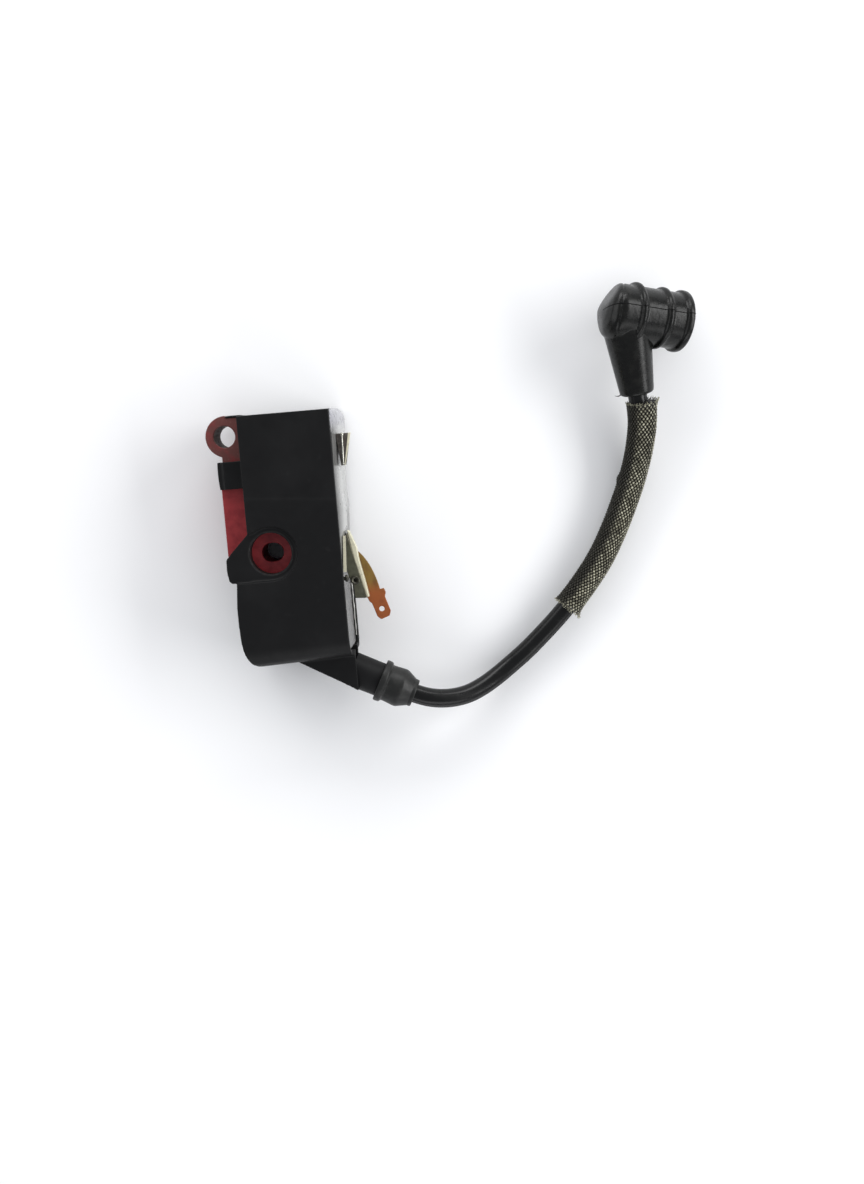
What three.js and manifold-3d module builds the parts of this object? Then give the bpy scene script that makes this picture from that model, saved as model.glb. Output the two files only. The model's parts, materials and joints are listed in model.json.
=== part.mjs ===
// Ignition coil module for a small two-stroke engine, with its HT lead and plug boot.
// Units are millimetres, +Z is up. The module lies on its back: the tub's flat back is on z = 0,
// its long edges run along Y and the open, resin-filled side faces +X.
import * as THREE from "three";
import { mergeVertices } from "three/addons/utils/BufferGeometryUtils.js";
import Module from "manifold-3d";

const wasm = await Module();
wasm.setup();

// ---------------------------------------------------------------- driving dimensions
const GAP = 0.3; // clearance between pieces that touch in the real object

// The module group's own origin is the top-left front corner of the tub.
const MODULE_X = -16;
const MODULE_Y = 42.1;

// Tub
const TUB_DEPTH = 24;
const TUB_RIGHT_FRONT = 24.5; // the open rim leans out towards the back
const TUB_RIGHT_BACK = 25.3;
const TUB_LEFT = -0.6; // left wall beside the core
const TUB_LEFT_LOW = -4.7; // left wall of the wider lower end
const TUB_BOTTOM = -68.2;
const WALL = 1.5;
const FRONT_FILLET = 6; // soft edge between the front face and the lower end wall
const BACK_FILLET = 2;
const RECESS_DEPTH = 1.2; // the front around the slot boss lies below the main face

// Core
const CORE_LOW = 6; // laminations fill z = 6 to 18
const CORE_HIGH = 18;
const EYE = { x: -5.15, y: -5.25, hole: 3.0, rimX: -4.63, rim: 5.7 };
const SLOT = { x: 5.2, y: -37.8, halfWidth: 2.6, halfLength: 3.05 };
const SINK_RADIUS = 5.7; // counterbore over the slotted foot, front and back
const BOSS_RADIUS = 7.2;
const BAR_LEFT = -7.25;
const STRAP = { left: -7.4, top: -12.1, bottom: -19.6, high: 20.4 };
const FOOT = { top: -31.9, bottom: -44.2, left: -4.4, right: 15.3 };
const YOKE = { top: -2.1, bottom: -8.7, right: 15.3 };

// Coils, all centred on the core limb
const LIMB = { x: 12, z: 12, width: 6, depth: 7, top: -9, bottom: -31.6 };
const COIL_TOP = -9.6;
const COIL_BOTTOM = -30.2;
const FLANGE = 0.9; // thickness of the bobbin flanges
const CHAMBERS = 4;

// HT outlet: an axis that leaves the rim at the lower right corner
const OUTLET = { x: 25.4, y: -73.65, z: 12, angle: THREE.MathUtils.degToRad(-26.5) };
const SNOUT_RADIUS = 4.75;
const SNOUT_END = 9.2;
const SPIGOT_RADIUS = 3.3; // the snout's inner end, held in the chute's mouth
const CHUTE = { low: 6.6, high: 17.4, left: 4.4, leftY: -65.3, slope: -0.625, wall: 0.5 };

// HT lead and what is on it
const LEAD_RADIUS = 2.65;
const LEAD_BORE = LEAD_RADIUS + GAP;
const SLEEVE_INNER = 3.1;
const SLEEVE_OUTER = 3.8;

// Plug boot: the barrel's axis and the leg's axis meet at the elbow point
const ELBOW = new THREE.Vector3(90.4, 61.2, 14.35);
const ELBOW_ANGLE = THREE.MathUtils.degToRad(69); // between the leg and the barrel
const BOOT_ROLL = THREE.MathUtils.degToRad(18.6); // mouth leans down to the surface
const BOOT_PITCH = THREE.MathUtils.degToRad(12); // leg slopes down towards the lead
const BOOT_YAW = THREE.MathUtils.degToRad(6.3);
const LEG_LENGTH = 22.4;
const MOUTH = 17.3; // the barrel's open end, from the elbow point
const LEAD_END = 6.6; // the lead stops this far from the elbow point

// ---------------------------------------------------------------- finishes
function finish(color, roughness, metalness = 0) {
  return new THREE.MeshStandardMaterial({ color, roughness, metalness });
}

const FINISH = {
  tub: finish(0x1c1c1e, 0.55),
  resin: finish(0x6e6f6a, 0.3),
  lacquer: finish(0xa23238, 0.45),
  steel: finish(0x55565a, 0.5, 0.8),
  olive: finish(0x6b6a4c, 0.4, 0.8),
  nickel: finish(0xc9c5b0, 0.3, 1),
  copper: finish(0xa4622e, 0.4, 0.9),
  bobbin: finish(0xd8d2bd, 0.6),
  winding: finish(0x8c4a1f, 0.35, 0.7),
  board: finish(0x24552f, 0.6),
  component: finish(0x17181a, 0.5),
  film: finish(0xb5632c, 0.5),
  rubber: finish(0x141415, 0.5),
  lead: finish(0x18181a, 0.35),
  braid: finish(0x5d594b, 0.9),
};

// ---------------------------------------------------------------- solids
function toSolid(geometry) {
  const bare = geometry.clone();
  bare.deleteAttribute("normal");
  bare.deleteAttribute("uv");
  const merged = mergeVertices(bare, 1e-4);
  return new wasm.Manifold(
    new wasm.Mesh({
      numProp: 3,
      vertProperties: new Float32Array(merged.attributes.position.array),
      triVerts: new Uint32Array(merged.index.array),
    }),
  );
}

function toGeometry(solid) {
  const mesh = solid.getMesh();
  const geometry = new THREE.BufferGeometry();
  geometry.setAttribute("position", new THREE.BufferAttribute(mesh.vertProperties, 3));
  geometry.setIndex(new THREE.BufferAttribute(mesh.triVerts, 1));
  const shaded = geometry.toNonIndexed();
  shaded.computeVertexNormals();
  return shaded;
}

function join(...solids) {
  return solids.reduce((whole, next) => whole.add(next));
}

// An outline in XY, raised from z = low to z = high.
function slab(shape, low, high, curveSegments = 12) {
  const geometry = new THREE.ExtrudeGeometry(shape, {
    depth: high - low,
    bevelEnabled: false,
    curveSegments,
  });
  return toSolid(geometry.translate(0, 0, low));
}

// An outline drawn in (y, z), swept from x = left to x = right.
function sweepAlongX(shape, left, right, curveSegments = 6) {
  const geometry = new THREE.ExtrudeGeometry(shape, {
    depth: right - left,
    bevelEnabled: false,
    curveSegments,
  });
  const turn = new THREE.Matrix4().makeBasis(
    new THREE.Vector3(0, 1, 0),
    new THREE.Vector3(0, 0, 1),
    new THREE.Vector3(1, 0, 0),
  );
  return toSolid(geometry.applyMatrix4(turn).translate(left, 0, 0));
}

// An outline drawn in (z, x), swept from y = low to y = high.
function sweepAlongY(shape, low, high, curveSegments = 3) {
  const geometry = new THREE.ExtrudeGeometry(shape, {
    depth: high - low,
    bevelEnabled: false,
    curveSegments,
  });
  const turn = new THREE.Matrix4().makeBasis(
    new THREE.Vector3(0, 0, 1),
    new THREE.Vector3(1, 0, 0),
    new THREE.Vector3(0, 1, 0),
  );
  return toSolid(geometry.applyMatrix4(turn).translate(0, low, 0));
}

function block(x0, x1, y0, y1, z0, z1) {
  const geometry = new THREE.BoxGeometry(x1 - x0, y1 - y0, z1 - z0);
  return toSolid(geometry.translate((x0 + x1) / 2, (y0 + y1) / 2, (z0 + z1) / 2));
}

function disc(x, y, radius, low, high, segments = 32) {
  const geometry = new THREE.CylinderGeometry(radius, radius, high - low, segments);
  return toSolid(geometry.rotateX(Math.PI / 2).translate(x, y, (low + high) / 2));
}

// A turned solid about +Y from [radius, station] points that start and end on the axis.
function turned(points, segments = 32) {
  const profile = points.map(([radius, station]) => new THREE.Vector2(radius, station));
  return new THREE.LatheGeometry(profile, segments);
}

// The same, laid along the HT outlet's axis, with stations counted from the rim outwards.
function onOutlet(points, segments) {
  const geometry = turned(points, segments);
  geometry.rotateZ(OUTLET.angle - Math.PI / 2);
  return toSolid(geometry.translate(OUTLET.x, OUTLET.y, OUTLET.z));
}

function rod(radius, low, high, onAxis = onOutlet, segments = 20) {
  return onAxis([[0, low], [radius, low], [radius, high], [0, high]], segments);
}

function outline(points) {
  return new THREE.Shape(points.map(([x, y]) => new THREE.Vector2(x, y)));
}

function roundedRect(x0, y0, x1, y1, r) {
  const shape = new THREE.Shape();
  shape.absarc(x1 - r, y1 - r, r, 0, Math.PI / 2);
  shape.absarc(x0 + r, y1 - r, r, Math.PI / 2, Math.PI);
  shape.absarc(x0 + r, y0 + r, r, Math.PI, 1.5 * Math.PI);
  shape.absarc(x1 - r, y0 + r, r, 1.5 * Math.PI, 2 * Math.PI);
  shape.closePath();
  return shape;
}

const root = new THREE.Group();
const module = new THREE.Group();
module.position.set(MODULE_X, MODULE_Y, 0);
root.add(module);

function piece(name, shape, material, parent = module) {
  const geometry = shape.isBufferGeometry ? shape : toGeometry(shape);
  const mesh = new THREE.Mesh(geometry, material);
  mesh.name = name;
  parent.add(mesh);
  return mesh;
}

// ---------------------------------------------------------------- tub
// The front view's outline, drawn inset by t for the cavity.
function tubOutline(t, right) {
  const left = TUB_LEFT + t;
  const lowLeft = TUB_LEFT_LOW + t;
  const bottom = TUB_BOTTOM + t;
  const shoulder = FOOT.bottom - 1.2 - t;
  const shape = new THREE.Shape();
  shape.moveTo(right, -t);
  shape.lineTo(left, -t);
  shape.lineTo(left, shoulder);
  shape.lineTo(lowLeft, shoulder);
  shape.lineTo(lowLeft, -57.5);
  shape.bezierCurveTo(lowLeft, -63.5, lowLeft + 1.0, bottom + 1.2, lowLeft + 4.2 - t, bottom);
  shape.lineTo(right, bottom);
  shape.closePath();
  return shape;
}

// The end view's outline, with the soft front edge and the tighter back edge.
function tubEndView(t) {
  const y0 = TUB_BOTTOM + t;
  const z0 = t;
  const z1 = TUB_DEPTH - t;
  const front = FRONT_FILLET - t;
  const back = BACK_FILLET - t;
  const shape = new THREE.Shape();
  shape.moveTo(2, z0);
  shape.lineTo(2, z1);
  shape.lineTo(y0 + front, z1);
  shape.absarc(y0 + front, z1 - front, front, Math.PI / 2, Math.PI);
  shape.lineTo(y0, z0 + back);
  shape.absarc(y0 + back, z0 + back, back, Math.PI, 1.5 * Math.PI);
  shape.closePath();
  return shape;
}

// The chute under the lower end wall, which the snout leaves; t insets its sloping floor.
function chuteOutline(t, right) {
  const rise = t * Math.hypot(1, CHUTE.slope);
  const left = CHUTE.left + 2 * t;
  const floorAt = (x) => CHUTE.leftY + (x - CHUTE.left) * CHUTE.slope + rise;
  return outline([[left, floorAt(left)], [right, floorAt(right)], [right, -65], [left, -65]]);
}

// Straps and slot boss hold the core from the front and from the back.
function footBlock() {
  return outline([
    [TUB_LEFT + 0.5, FOOT.top - 0.1], [TUB_LEFT, FOOT.top - 0.1], [-5.9, -37.3], [-7.1, -38.6],
    [-7.3, -41.6], [-6.9, -44.4], [-6.2, -45.3], [TUB_LEFT + 0.5, -45.4],
  ]);
}

function strapOutline(left) {
  return outline([
    [TUB_LEFT + 0.5, STRAP.top], [left, STRAP.top], [left, STRAP.bottom], [TUB_LEFT + 0.5, STRAP.bottom],
  ]);
}

function coreStraps() {
  const front = CORE_HIGH + GAP;
  const back = CORE_LOW - GAP;
  return join(
    slab(strapOutline(STRAP.left), front, STRAP.high - 1.1),
    slab(strapOutline(STRAP.left + 1.3), front, STRAP.high),
    slab(strapOutline(STRAP.left), back - 2, back),
    slab(footBlock(), front, TUB_DEPTH - RECESS_DEPTH),
    slab(footBlock(), RECESS_DEPTH, back),
    block(-7.3, FOOT.left - GAP, -44.4, -41.6, back - 1, front + 1),
    block(-4.4, TUB_LEFT + 0.5, -0.25, 0.4, back, front),
  );
}

function recess(low, high) {
  return join(
    disc(SLOT.x, SLOT.y, BOSS_RADIUS + 0.2, low, high),
    slab(outline([[-9, FOOT.top], [-0.9, -32.2], [SLOT.x, -30.8], [SLOT.x, -45.2], [-9, -45.2]]), low, high),
  );
}

// What lies beyond the leaning rim; outline in (z, x).
function beyondRim() {
  const far = TUB_RIGHT_BACK + 5;
  const shape = outline([
    [0, TUB_RIGHT_BACK], [TUB_DEPTH, TUB_RIGHT_FRONT], [TUB_DEPTH + 1, TUB_RIGHT_FRONT],
    [TUB_DEPTH + 1, far], [-1, far], [-1, TUB_RIGHT_BACK],
  ]);
  return sweepAlongY(shape, TUB_BOTTOM - 1, 3);
}

// The room round the part of the core that passes through a wall or through the resin.
function coreClearance(arm, left, right) {
  return block(left, right, arm.bottom - GAP, arm.top + GAP, CORE_LOW - GAP, CORE_HIGH + GAP);
}

function housing() {
  const right = TUB_RIGHT_BACK;
  const shell = slab(tubOutline(0, right), 0, TUB_DEPTH)
    .intersect(sweepAlongX(tubEndView(0), -10, right + 5))
    .subtract(beyondRim())
    .add(slab(chuteOutline(0, right), CHUTE.low, CHUTE.high));
  const cavity = slab(tubOutline(WALL, right + 2), WALL, TUB_DEPTH - WALL)
    .intersect(sweepAlongX(tubEndView(WALL), -10, right + 5))
    .add(slab(chuteOutline(CHUTE.wall, right + 2), CHUTE.low + 1.2, CHUTE.high - 1.2));
  const boss = join(
    disc(SLOT.x, SLOT.y, BOSS_RADIUS, CORE_HIGH + GAP, TUB_DEPTH - RECESS_DEPTH),
    disc(SLOT.x, SLOT.y, BOSS_RADIUS, RECESS_DEPTH, CORE_LOW - GAP),
  );
  return shell
    .subtract(cavity)
    .add(coreStraps())
    .add(boss)
    .subtract(recess(TUB_DEPTH - RECESS_DEPTH, TUB_DEPTH + 1))
    .subtract(disc(SLOT.x, SLOT.y, SINK_RADIUS, CORE_HIGH - 1, TUB_DEPTH + 1, 40))
    .subtract(disc(SLOT.x, SLOT.y, SINK_RADIUS, -1, CORE_LOW + 1, 40))
    .subtract(coreClearance(YOKE, TUB_LEFT - 1, WALL))
    .subtract(coreClearance(FOOT, TUB_LEFT - 1, WALL));
}

// ---------------------------------------------------------------- core
function upperCore() {
  const wallGap = TUB_LEFT - GAP;
  const neck = outline([
    [-6.3, EYE.y], [-6.3, -15.8], [wallGap, -15.8], [wallGap, EYE.y],
  ]);
  const ring = disc(EYE.rimX, EYE.y, EYE.rim, CORE_LOW, CORE_HIGH, 40)
    .subtract(block(wallGap, 5, -20, 5, 0, 30))
    .subtract(block(-4.4 - GAP, 5, -0.25 - GAP, 5, 0, 30));
  return join(
    ring,
    slab(neck, CORE_LOW, CORE_HIGH),
    block(EYE.x, YOKE.right, YOKE.bottom, YOKE.top, CORE_LOW, CORE_HIGH),
  ).subtract(disc(EYE.x, EYE.y, EYE.hole, 0, 30, 32));
}

function slotShape() {
  const ends = SLOT.halfLength - SLOT.halfWidth;
  const shape = new THREE.Shape();
  shape.absarc(SLOT.x + ends, SLOT.y, SLOT.halfWidth, -Math.PI / 2, Math.PI / 2);
  shape.absarc(SLOT.x - ends, SLOT.y, SLOT.halfWidth, Math.PI / 2, 1.5 * Math.PI);
  shape.closePath();
  return shape;
}

function lowerCore() {
  const barRight = TUB_LEFT - GAP;
  const barAndFoot = outline([
    [BAR_LEFT, -16.6], [BAR_LEFT, -38.3], [FOOT.left, -41.2], [FOOT.left, FOOT.bottom],
    [FOOT.right, FOOT.bottom], [FOOT.right, FOOT.top], [barRight, FOOT.top], [barRight, -16.6],
  ]);
  return slab(barAndFoot, CORE_LOW, CORE_HIGH).subtract(slab(slotShape(), 0, 30));
}

function limb(t = 0) {
  const { x, z, width, depth, top, bottom } = LIMB;
  const halfX = width / 2 + t;
  const halfZ = depth / 2 + t;
  return block(x - halfX, x + halfX, bottom - t, top + t, z - halfZ, z + halfZ);
}

// ---------------------------------------------------------------- coils
// A rounded rectangular section round the limb, grown by t on every side; shape axes are (z, x).
function coilSection(t, r) {
  const halfZ = LIMB.depth / 2 + t;
  const halfX = LIMB.width / 2 + t;
  return roundedRect(LIMB.z - halfZ, LIMB.x - halfX, LIMB.z + halfZ, LIMB.x + halfX, r);
}

function coilRing(inner, outer, low, high) {
  const cut = sweepAlongY(coilSection(inner, 0.2 + inner * 0.4), low - 1, high + 1);
  return sweepAlongY(coilSection(outer, 0.2 + outer * 0.4), low, high).subtract(cut);
}

// A former with a wall and evenly spaced flanges, which leave that many chambers for the wire.
function bobbin(inner, wall, rim, chambers) {
  const pitch = (COIL_TOP - COIL_BOTTOM - FLANGE) / chambers;
  let body = coilRing(inner, inner + wall, COIL_BOTTOM, COIL_TOP);
  for (let i = 0; i <= chambers; i++) {
    const low = COIL_BOTTOM + i * pitch;
    body = body.add(coilRing(inner, rim, low, low + FLANGE));
  }
  return body;
}

function chamberWinding(inner, outer, index, chambers) {
  const pitch = (COIL_TOP - COIL_BOTTOM - FLANGE) / chambers;
  const low = COIL_BOTTOM + index * pitch + FLANGE + GAP;
  return coilRing(inner + GAP, outer, low, low + pitch - FLANGE - 2 * GAP);
}

const PRIMARY = { inner: 0.3, wall: 0.7, rim: 3.1, copper: 2.8 };
const SECONDARY = { inner: 3.4, wall: 0.7, rim: 6.5, copper: 6.1 };

// ---------------------------------------------------------------- electronics
const BOARD = { left: -2.2, right: 16.6, bottom: -62, top: -47.4, low: 3.2, high: 4.8 };
const BOARD_TOP = BOARD.high + GAP;

function circuitBoard() {
  const edge = roundedRect(BOARD.left, BOARD.bottom, BOARD.right, BOARD.top, 0.8);
  return slab(edge, BOARD.low, BOARD.high, 2);
}

// An axial component lying along X: body between two legs that bend down to the board.
function axialPart(x, y, length, radius) {
  const z = BOARD_TOP + radius + 0.2;
  const body = new THREE.CylinderGeometry(radius, radius, length, 16).rotateZ(Math.PI / 2);
  const reach = length / 2 + 1;
  const leg = 0.3;
  return join(
    toSolid(body.translate(x, y, z)),
    block(x - reach - leg, x + reach + leg, y - leg, y + leg, z - leg, z + leg),
    block(x - reach - leg, x - reach + leg, y - leg, y + leg, BOARD_TOP, z),
    block(x + reach - leg, x + reach + leg, y - leg, y + leg, BOARD_TOP, z),
  );
}

// A flat-faced plastic transistor body standing on three legs.
function transistorBody(x, y, width, height, depth) {
  const lift = 1.6;
  const legs = [-1, 0, 1].map((i) => {
    const at = x + (i * width) / 3.2;
    return block(at - 0.3, at + 0.3, y - 0.3, y + 0.3, BOARD_TOP, BOARD_TOP + lift + 0.5);
  });
  const top = BOARD_TOP + lift;
  return join(block(x - width / 2, x + width / 2, y - depth / 2, y + depth / 2, top, top + height), ...legs);
}

// ---------------------------------------------------------------- resin
// The open face swells at the upper end and sinks below the rim at the lower end.
function resinOutline() {
  const left = TUB_LEFT + WALL + GAP;
  const low = TUB_LEFT_LOW + WALL + GAP;
  const shape = new THREE.Shape();
  shape.moveTo(left, -WALL - GAP);
  shape.lineTo(left, FOOT.bottom - 3.2);
  shape.lineTo(low, FOOT.bottom - 3.2);
  shape.lineTo(low, -57.5);
  shape.bezierCurveTo(low, -62.5, low + 0.6, -66.4, low + 3.4, -66.4);
  shape.lineTo(24, -66.4);
  shape.lineTo(24, -48);
  shape.bezierCurveTo(24.1, -42, 24.9, -34, 25.9, -26);
  shape.bezierCurveTo(25.9, -20, 25.7, -12, 26.2, -6.5);
  shape.bezierCurveTo(26.2, -4, 25.6, -2.2, 24.3, -WALL - GAP);
  shape.closePath();
  return shape;
}

// The end view's outline of the fill, with its free face rounded towards the rims.
function resinCrown() {
  const low = WALL + GAP;
  const high = TUB_DEPTH - WALL - GAP;
  const shape = new THREE.Shape();
  shape.moveTo(low, -10);
  shape.lineTo(low, 24.4);
  shape.quadraticCurveTo(low + 1, 26.6, 12, 26.6);
  shape.quadraticCurveTo(high - 1, 26.0, high, 24.2);
  shape.lineTo(high, -10);
  shape.closePath();
  return shape;
}

function pottingResin() {
  const low = WALL + GAP;
  const high = TUB_DEPTH - WALL - GAP;
  const reach = SECONDARY.rim + GAP;
  const halfX = LIMB.width / 2 + reach;
  const fill = slab(resinOutline(), low, high, 8)
    .intersect(sweepAlongY(resinCrown(), -80, 5, 5))
    .intersect(sweepAlongX(tubEndView(WALL + GAP), -10, 30));
  const chuteFill = slab(chuteOutline(CHUTE.wall + GAP, 22), CHUTE.low + 1.5, CHUTE.high - 1.5);
  return fill
    .add(chuteFill)
    .subtract(coreClearance(FOOT, -10, FOOT.right + GAP))
    .subtract(coreClearance(YOKE, -10, YOKE.right + GAP))
    .subtract(disc(SLOT.x, SLOT.y, BOSS_RADIUS + GAP, 0, 30))
    .subtract(block(-10, SLOT.x, -45.4, FOOT.top + 0.9, 0, 30))
    .subtract(block(LIMB.x - halfX, LIMB.x + halfX, COIL_BOTTOM - GAP, COIL_TOP + GAP, 0, 30))
    .subtract(limb(GAP))
    .subtract(block(BOARD.left - GAP, BOARD.right + GAP, BOARD.bottom - GAP, BOARD.top + GAP, 0, 17.5))
    .subtract(rod(LEAD_BORE, -12, 6))
    .subtract(rod(SPIGOT_RADIUS + GAP, 0, 6))
    .subtract(linkChannel())
    .subtract(anchorSlots());
}

// ---------------------------------------------------------------- HT side inside the tub
const LINK = { x: 20, z: 12, radius: 0.5 };

function linkPath() {
  return [
    new THREE.Vector3(LINK.x, COIL_BOTTOM - 0.5, LINK.z),
    new THREE.Vector3(LINK.x, -45, LINK.z),
    new THREE.Vector3(LINK.x, -58, LINK.z),
    new THREE.Vector3(18.6, -64.5, LINK.z),
    new THREE.Vector3(16.6, -67.4, LINK.z),
  ];
}

function linkWire() {
  const curve = new THREE.CatmullRomCurve3(linkPath());
  return new THREE.ExtrudeGeometry(circle(LINK.radius, 8), {
    steps: 16,
    bevelEnabled: false,
    extrudePath: curve,
  });
}

function linkChannel() {
  return slab(
    outline([
      [18.8, -30.4], [21.2, -30.4], [21.2, -58.5], [19.8, -64.9],
      [17.6, -68.6], [15.4, -67.4], [17.4, -64], [18.8, -58],
    ]),
    LINK.z - 1.1,
    LINK.z + 1.1,
  );
}

function contactSpike() {
  return onOutlet([[0, -9.9], [1.2, -9.9], [1.2, -9.0], [0.8, -8.8], [0.6, -7.6], [0, -6.4]], 16);
}

// The snout butts against the rim; a thin spigot carries on into the mouth of the chute.
function outletSnout() {
  const profile = [[0, -3], [SNOUT_RADIUS + 0.1, -3], [SNOUT_RADIUS - 0.1, SNOUT_END], [0, SNOUT_END]];
  return onOutlet(profile, 32)
    .subtract(block(0, TUB_RIGHT_BACK + GAP, TUB_BOTTOM - 15, TUB_BOTTOM + 5, 0, TUB_DEPTH))
    .add(rod(SPIGOT_RADIUS, 0.6, 4))
    .subtract(rod(LEAD_BORE, -5, SNOUT_END + 1, onOutlet, 24));
}

function outletCap() {
  const shell = onOutlet(
    [
      [0, 6.4], [5.9, 6.4], [5.95, 7.0], [5.85, 8.1], [5.3, 8.5], [5.2, 8.8], [5.45, 12.4], [5.3, 13.1],
      [4.0, 15.8], [3.85, 16.1], [3.8, 17.0], [0, 17.0],
    ],
    36,
  );
  const inside = onOutlet(
    [
      [0, 5], [SNOUT_RADIUS + 0.1 + GAP, 5], [SNOUT_RADIUS + 0.1 + GAP, SNOUT_END + 0.4],
      [LEAD_BORE, 11.5], [LEAD_BORE + 0.2, 17.5], [0, 17.5],
    ],
    28,
  );
  return shell.subtract(inside);
}

// ---------------------------------------------------------------- metal parts on the resin side
const SHEET = 0.6;

// The prongs by which each part is cast into the resin: [left, right, bottom, top, low, high]
const PRONG = {
  bracketUpper: [20.5, 25.7, -39.0, -36.6, 18.2, 18.8],
  bracketLower: [20.5, 25.7, -43.0, -40.6, 18.2, 18.8],
  bracketPin: [21, 25.7, -47.1, -46.1, 18.4, 19.4],
  stopTerminal: [20.5, 25.6, -42.3, -37.9, 11.6, 12.4],
  earthLug: [22.2, 27, -12.2, -9.8, 15.9, 16.5],
};

// Slanted edge of the bracket, from its top at the resin to its free corner.
const BRACKET = { topX: 25.7, topY: -34.9, endX: 29.9, endY: -52.6, low: 12.9, high: 16.2 };
const EYELET = { x: 27.4, y: -47.3, bore: 0.5, shank: 0.75, hole: 1.05, rim: 1.3 };

function earthBracket() {
  const { topX, topY, endX, endY, low, high } = BRACKET;
  const cheek = outline([
    [topX, topY], [endX, endY], [26.7, endY], [26.4, -49.4], [25.4, -46.6], [25.0, -45.0], [25.4, topY],
  ]);
  const web = outline([
    [topX, topY], [topX + SHEET, topY + 0.2], [27.7, -42.2],
    [endX + SHEET, endY + 0.3], [endX, endY], [27.1, -42.4],
  ]);
  const flange = outline([[25.35, -35.1], [25.8, -35.1], [25.15, -44.8], [24.6, -44.8]]);
  return join(
    slab(cheek, high - SHEET, high),
    slab(web, low, high),
    slab(flange, high - SHEET, 20.2),
    block(...PRONG.bracketUpper),
    block(...PRONG.bracketLower),
  ).subtract(disc(EYELET.x, EYELET.y, EYELET.hole, high - 1, high + 1, 16));
}

function bracketEyelet() {
  const { high } = BRACKET;
  const { x, y, bore, shank, rim } = EYELET;
  const body = join(
    disc(x, y, shank, high - 1.6, high + 0.5, 16),
    disc(x, y, rim, high + GAP, high + 0.6, 16),
  );
  return body.subtract(disc(x, y, bore, 0, 30, 12));
}

// A short headed pin whose shank is held in the resin.
function bracketPin() {
  const [root, , bottom, top, low, high] = PRONG.bracketPin;
  const radius = (top - bottom) / 2;
  const shank = [[0, root], [radius, root], [radius, 24.5]];
  const head = [[0.95, 24.5], [0.95, 25.1], [0.6, 25.5], [0, 25.6]];
  const geometry = turned([...shank, ...head], 14);
  return toSolid(geometry.rotateZ(-Math.PI / 2).translate(0, (bottom + top) / 2, (low + high) / 2));
}

const TAB = { x: 33.4, y: -56.5, hole: 0.76 };

function stopTerminal() {
  const [root, , bottom, top, low, high] = PRONG.stopTerminal;
  const shape = new THREE.Shape();
  shape.moveTo(root, top);
  shape.lineTo(25.6, -38.1);
  shape.bezierCurveTo(28.6, -39.3, 31.9, -43.6, 33.35, -50.9);
  shape.lineTo(34.45, -50.75);
  shape.lineTo(34.9, -51.9);
  shape.lineTo(34.55, -53.1);
  shape.lineTo(35.85, -57.3);
  shape.lineTo(35.4, -58.6);
  shape.lineTo(33.0, -59.45);
  shape.lineTo(32.0, -58.6);
  shape.lineTo(30.75, -54.6);
  shape.lineTo(30.15, -54.3);
  shape.lineTo(29.6, -52.9);
  shape.lineTo(29.9, -52.2);
  shape.bezierCurveTo(29.3, -48.2, 28.0, -44.2, 25.6, -42.3);
  shape.lineTo(root, bottom);
  shape.closePath();
  return slab(shape, low, high, 10).subtract(disc(TAB.x, TAB.y, TAB.hole, 0, 30, 20));
}

// Tapering cheeks joined by a web that stands against the resin, with a fold in front for the pin.
const LUG = { left: 26.7, top: -6.9, bottom: -15.6, low: 13.6, high: 18.9, fold: 20.1, sheet: 0.5 };

function earthLug() {
  const { left, top, bottom, low, high, fold, sheet } = LUG;
  const cheek = outline([[left, top], [left + 2.7, top], [left + 0.6, bottom], [left, bottom]]);
  const far = outline([[left, top], [left + 2.4, top], [left + 0.5, bottom], [left, bottom]]);
  const near = outline([[left + sheet, top], [left + sheet, bottom], [left - 0.4, bottom], [left - 1, top]]);
  return join(
    slab(cheek, high - sheet, high),
    slab(far, low, low + sheet),
    block(left, left + sheet, bottom, top, low, fold),
    slab(near, fold - sheet, fold),
    block(...PRONG.earthLug),
  );
}

function lugPin() {
  const shank = new THREE.CylinderGeometry(0.28, 0.28, 8.2, 10).translate(27.1, -11.4, 20.7);
  const head = new THREE.SphereGeometry(0.55, 12, 8).translate(27.1, -7.3, 20.85);
  return join(toSolid(shank), toSolid(head));
}

// Slots in the resin round every prong, open to the free face.
function anchorSlots() {
  const slots = Object.values(PRONG).map(([left, , bottom, top, low, high]) =>
    block(left - GAP, 30, bottom - GAP, top + GAP, low - GAP, high + GAP),
  );
  return join(...slots);
}

// ---------------------------------------------------------------- plug boot
// Boot frame: the leg runs along -Y from the elbow point, the barrel lies in the XY plane.
const barrelDirection = new THREE.Vector3(Math.sin(ELBOW_ANGLE), -Math.cos(ELBOW_ANGLE), 0);
const bootTurn = new THREE.Euler(BOOT_PITCH, BOOT_ROLL, BOOT_YAW, "ZXY");
const boot = new THREE.Group();
boot.position.copy(ELBOW);
boot.rotation.copy(bootTurn);
root.add(boot);

function onBarrel(points, segments = 36) {
  const geometry = turned(points, segments);
  geometry.rotateZ(Math.atan2(barrelDirection.y, barrelDirection.x) - Math.PI / 2);
  return toSolid(geometry);
}

function onLeg(points, segments = 28) {
  return toSolid(turned(points, segments));
}

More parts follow.
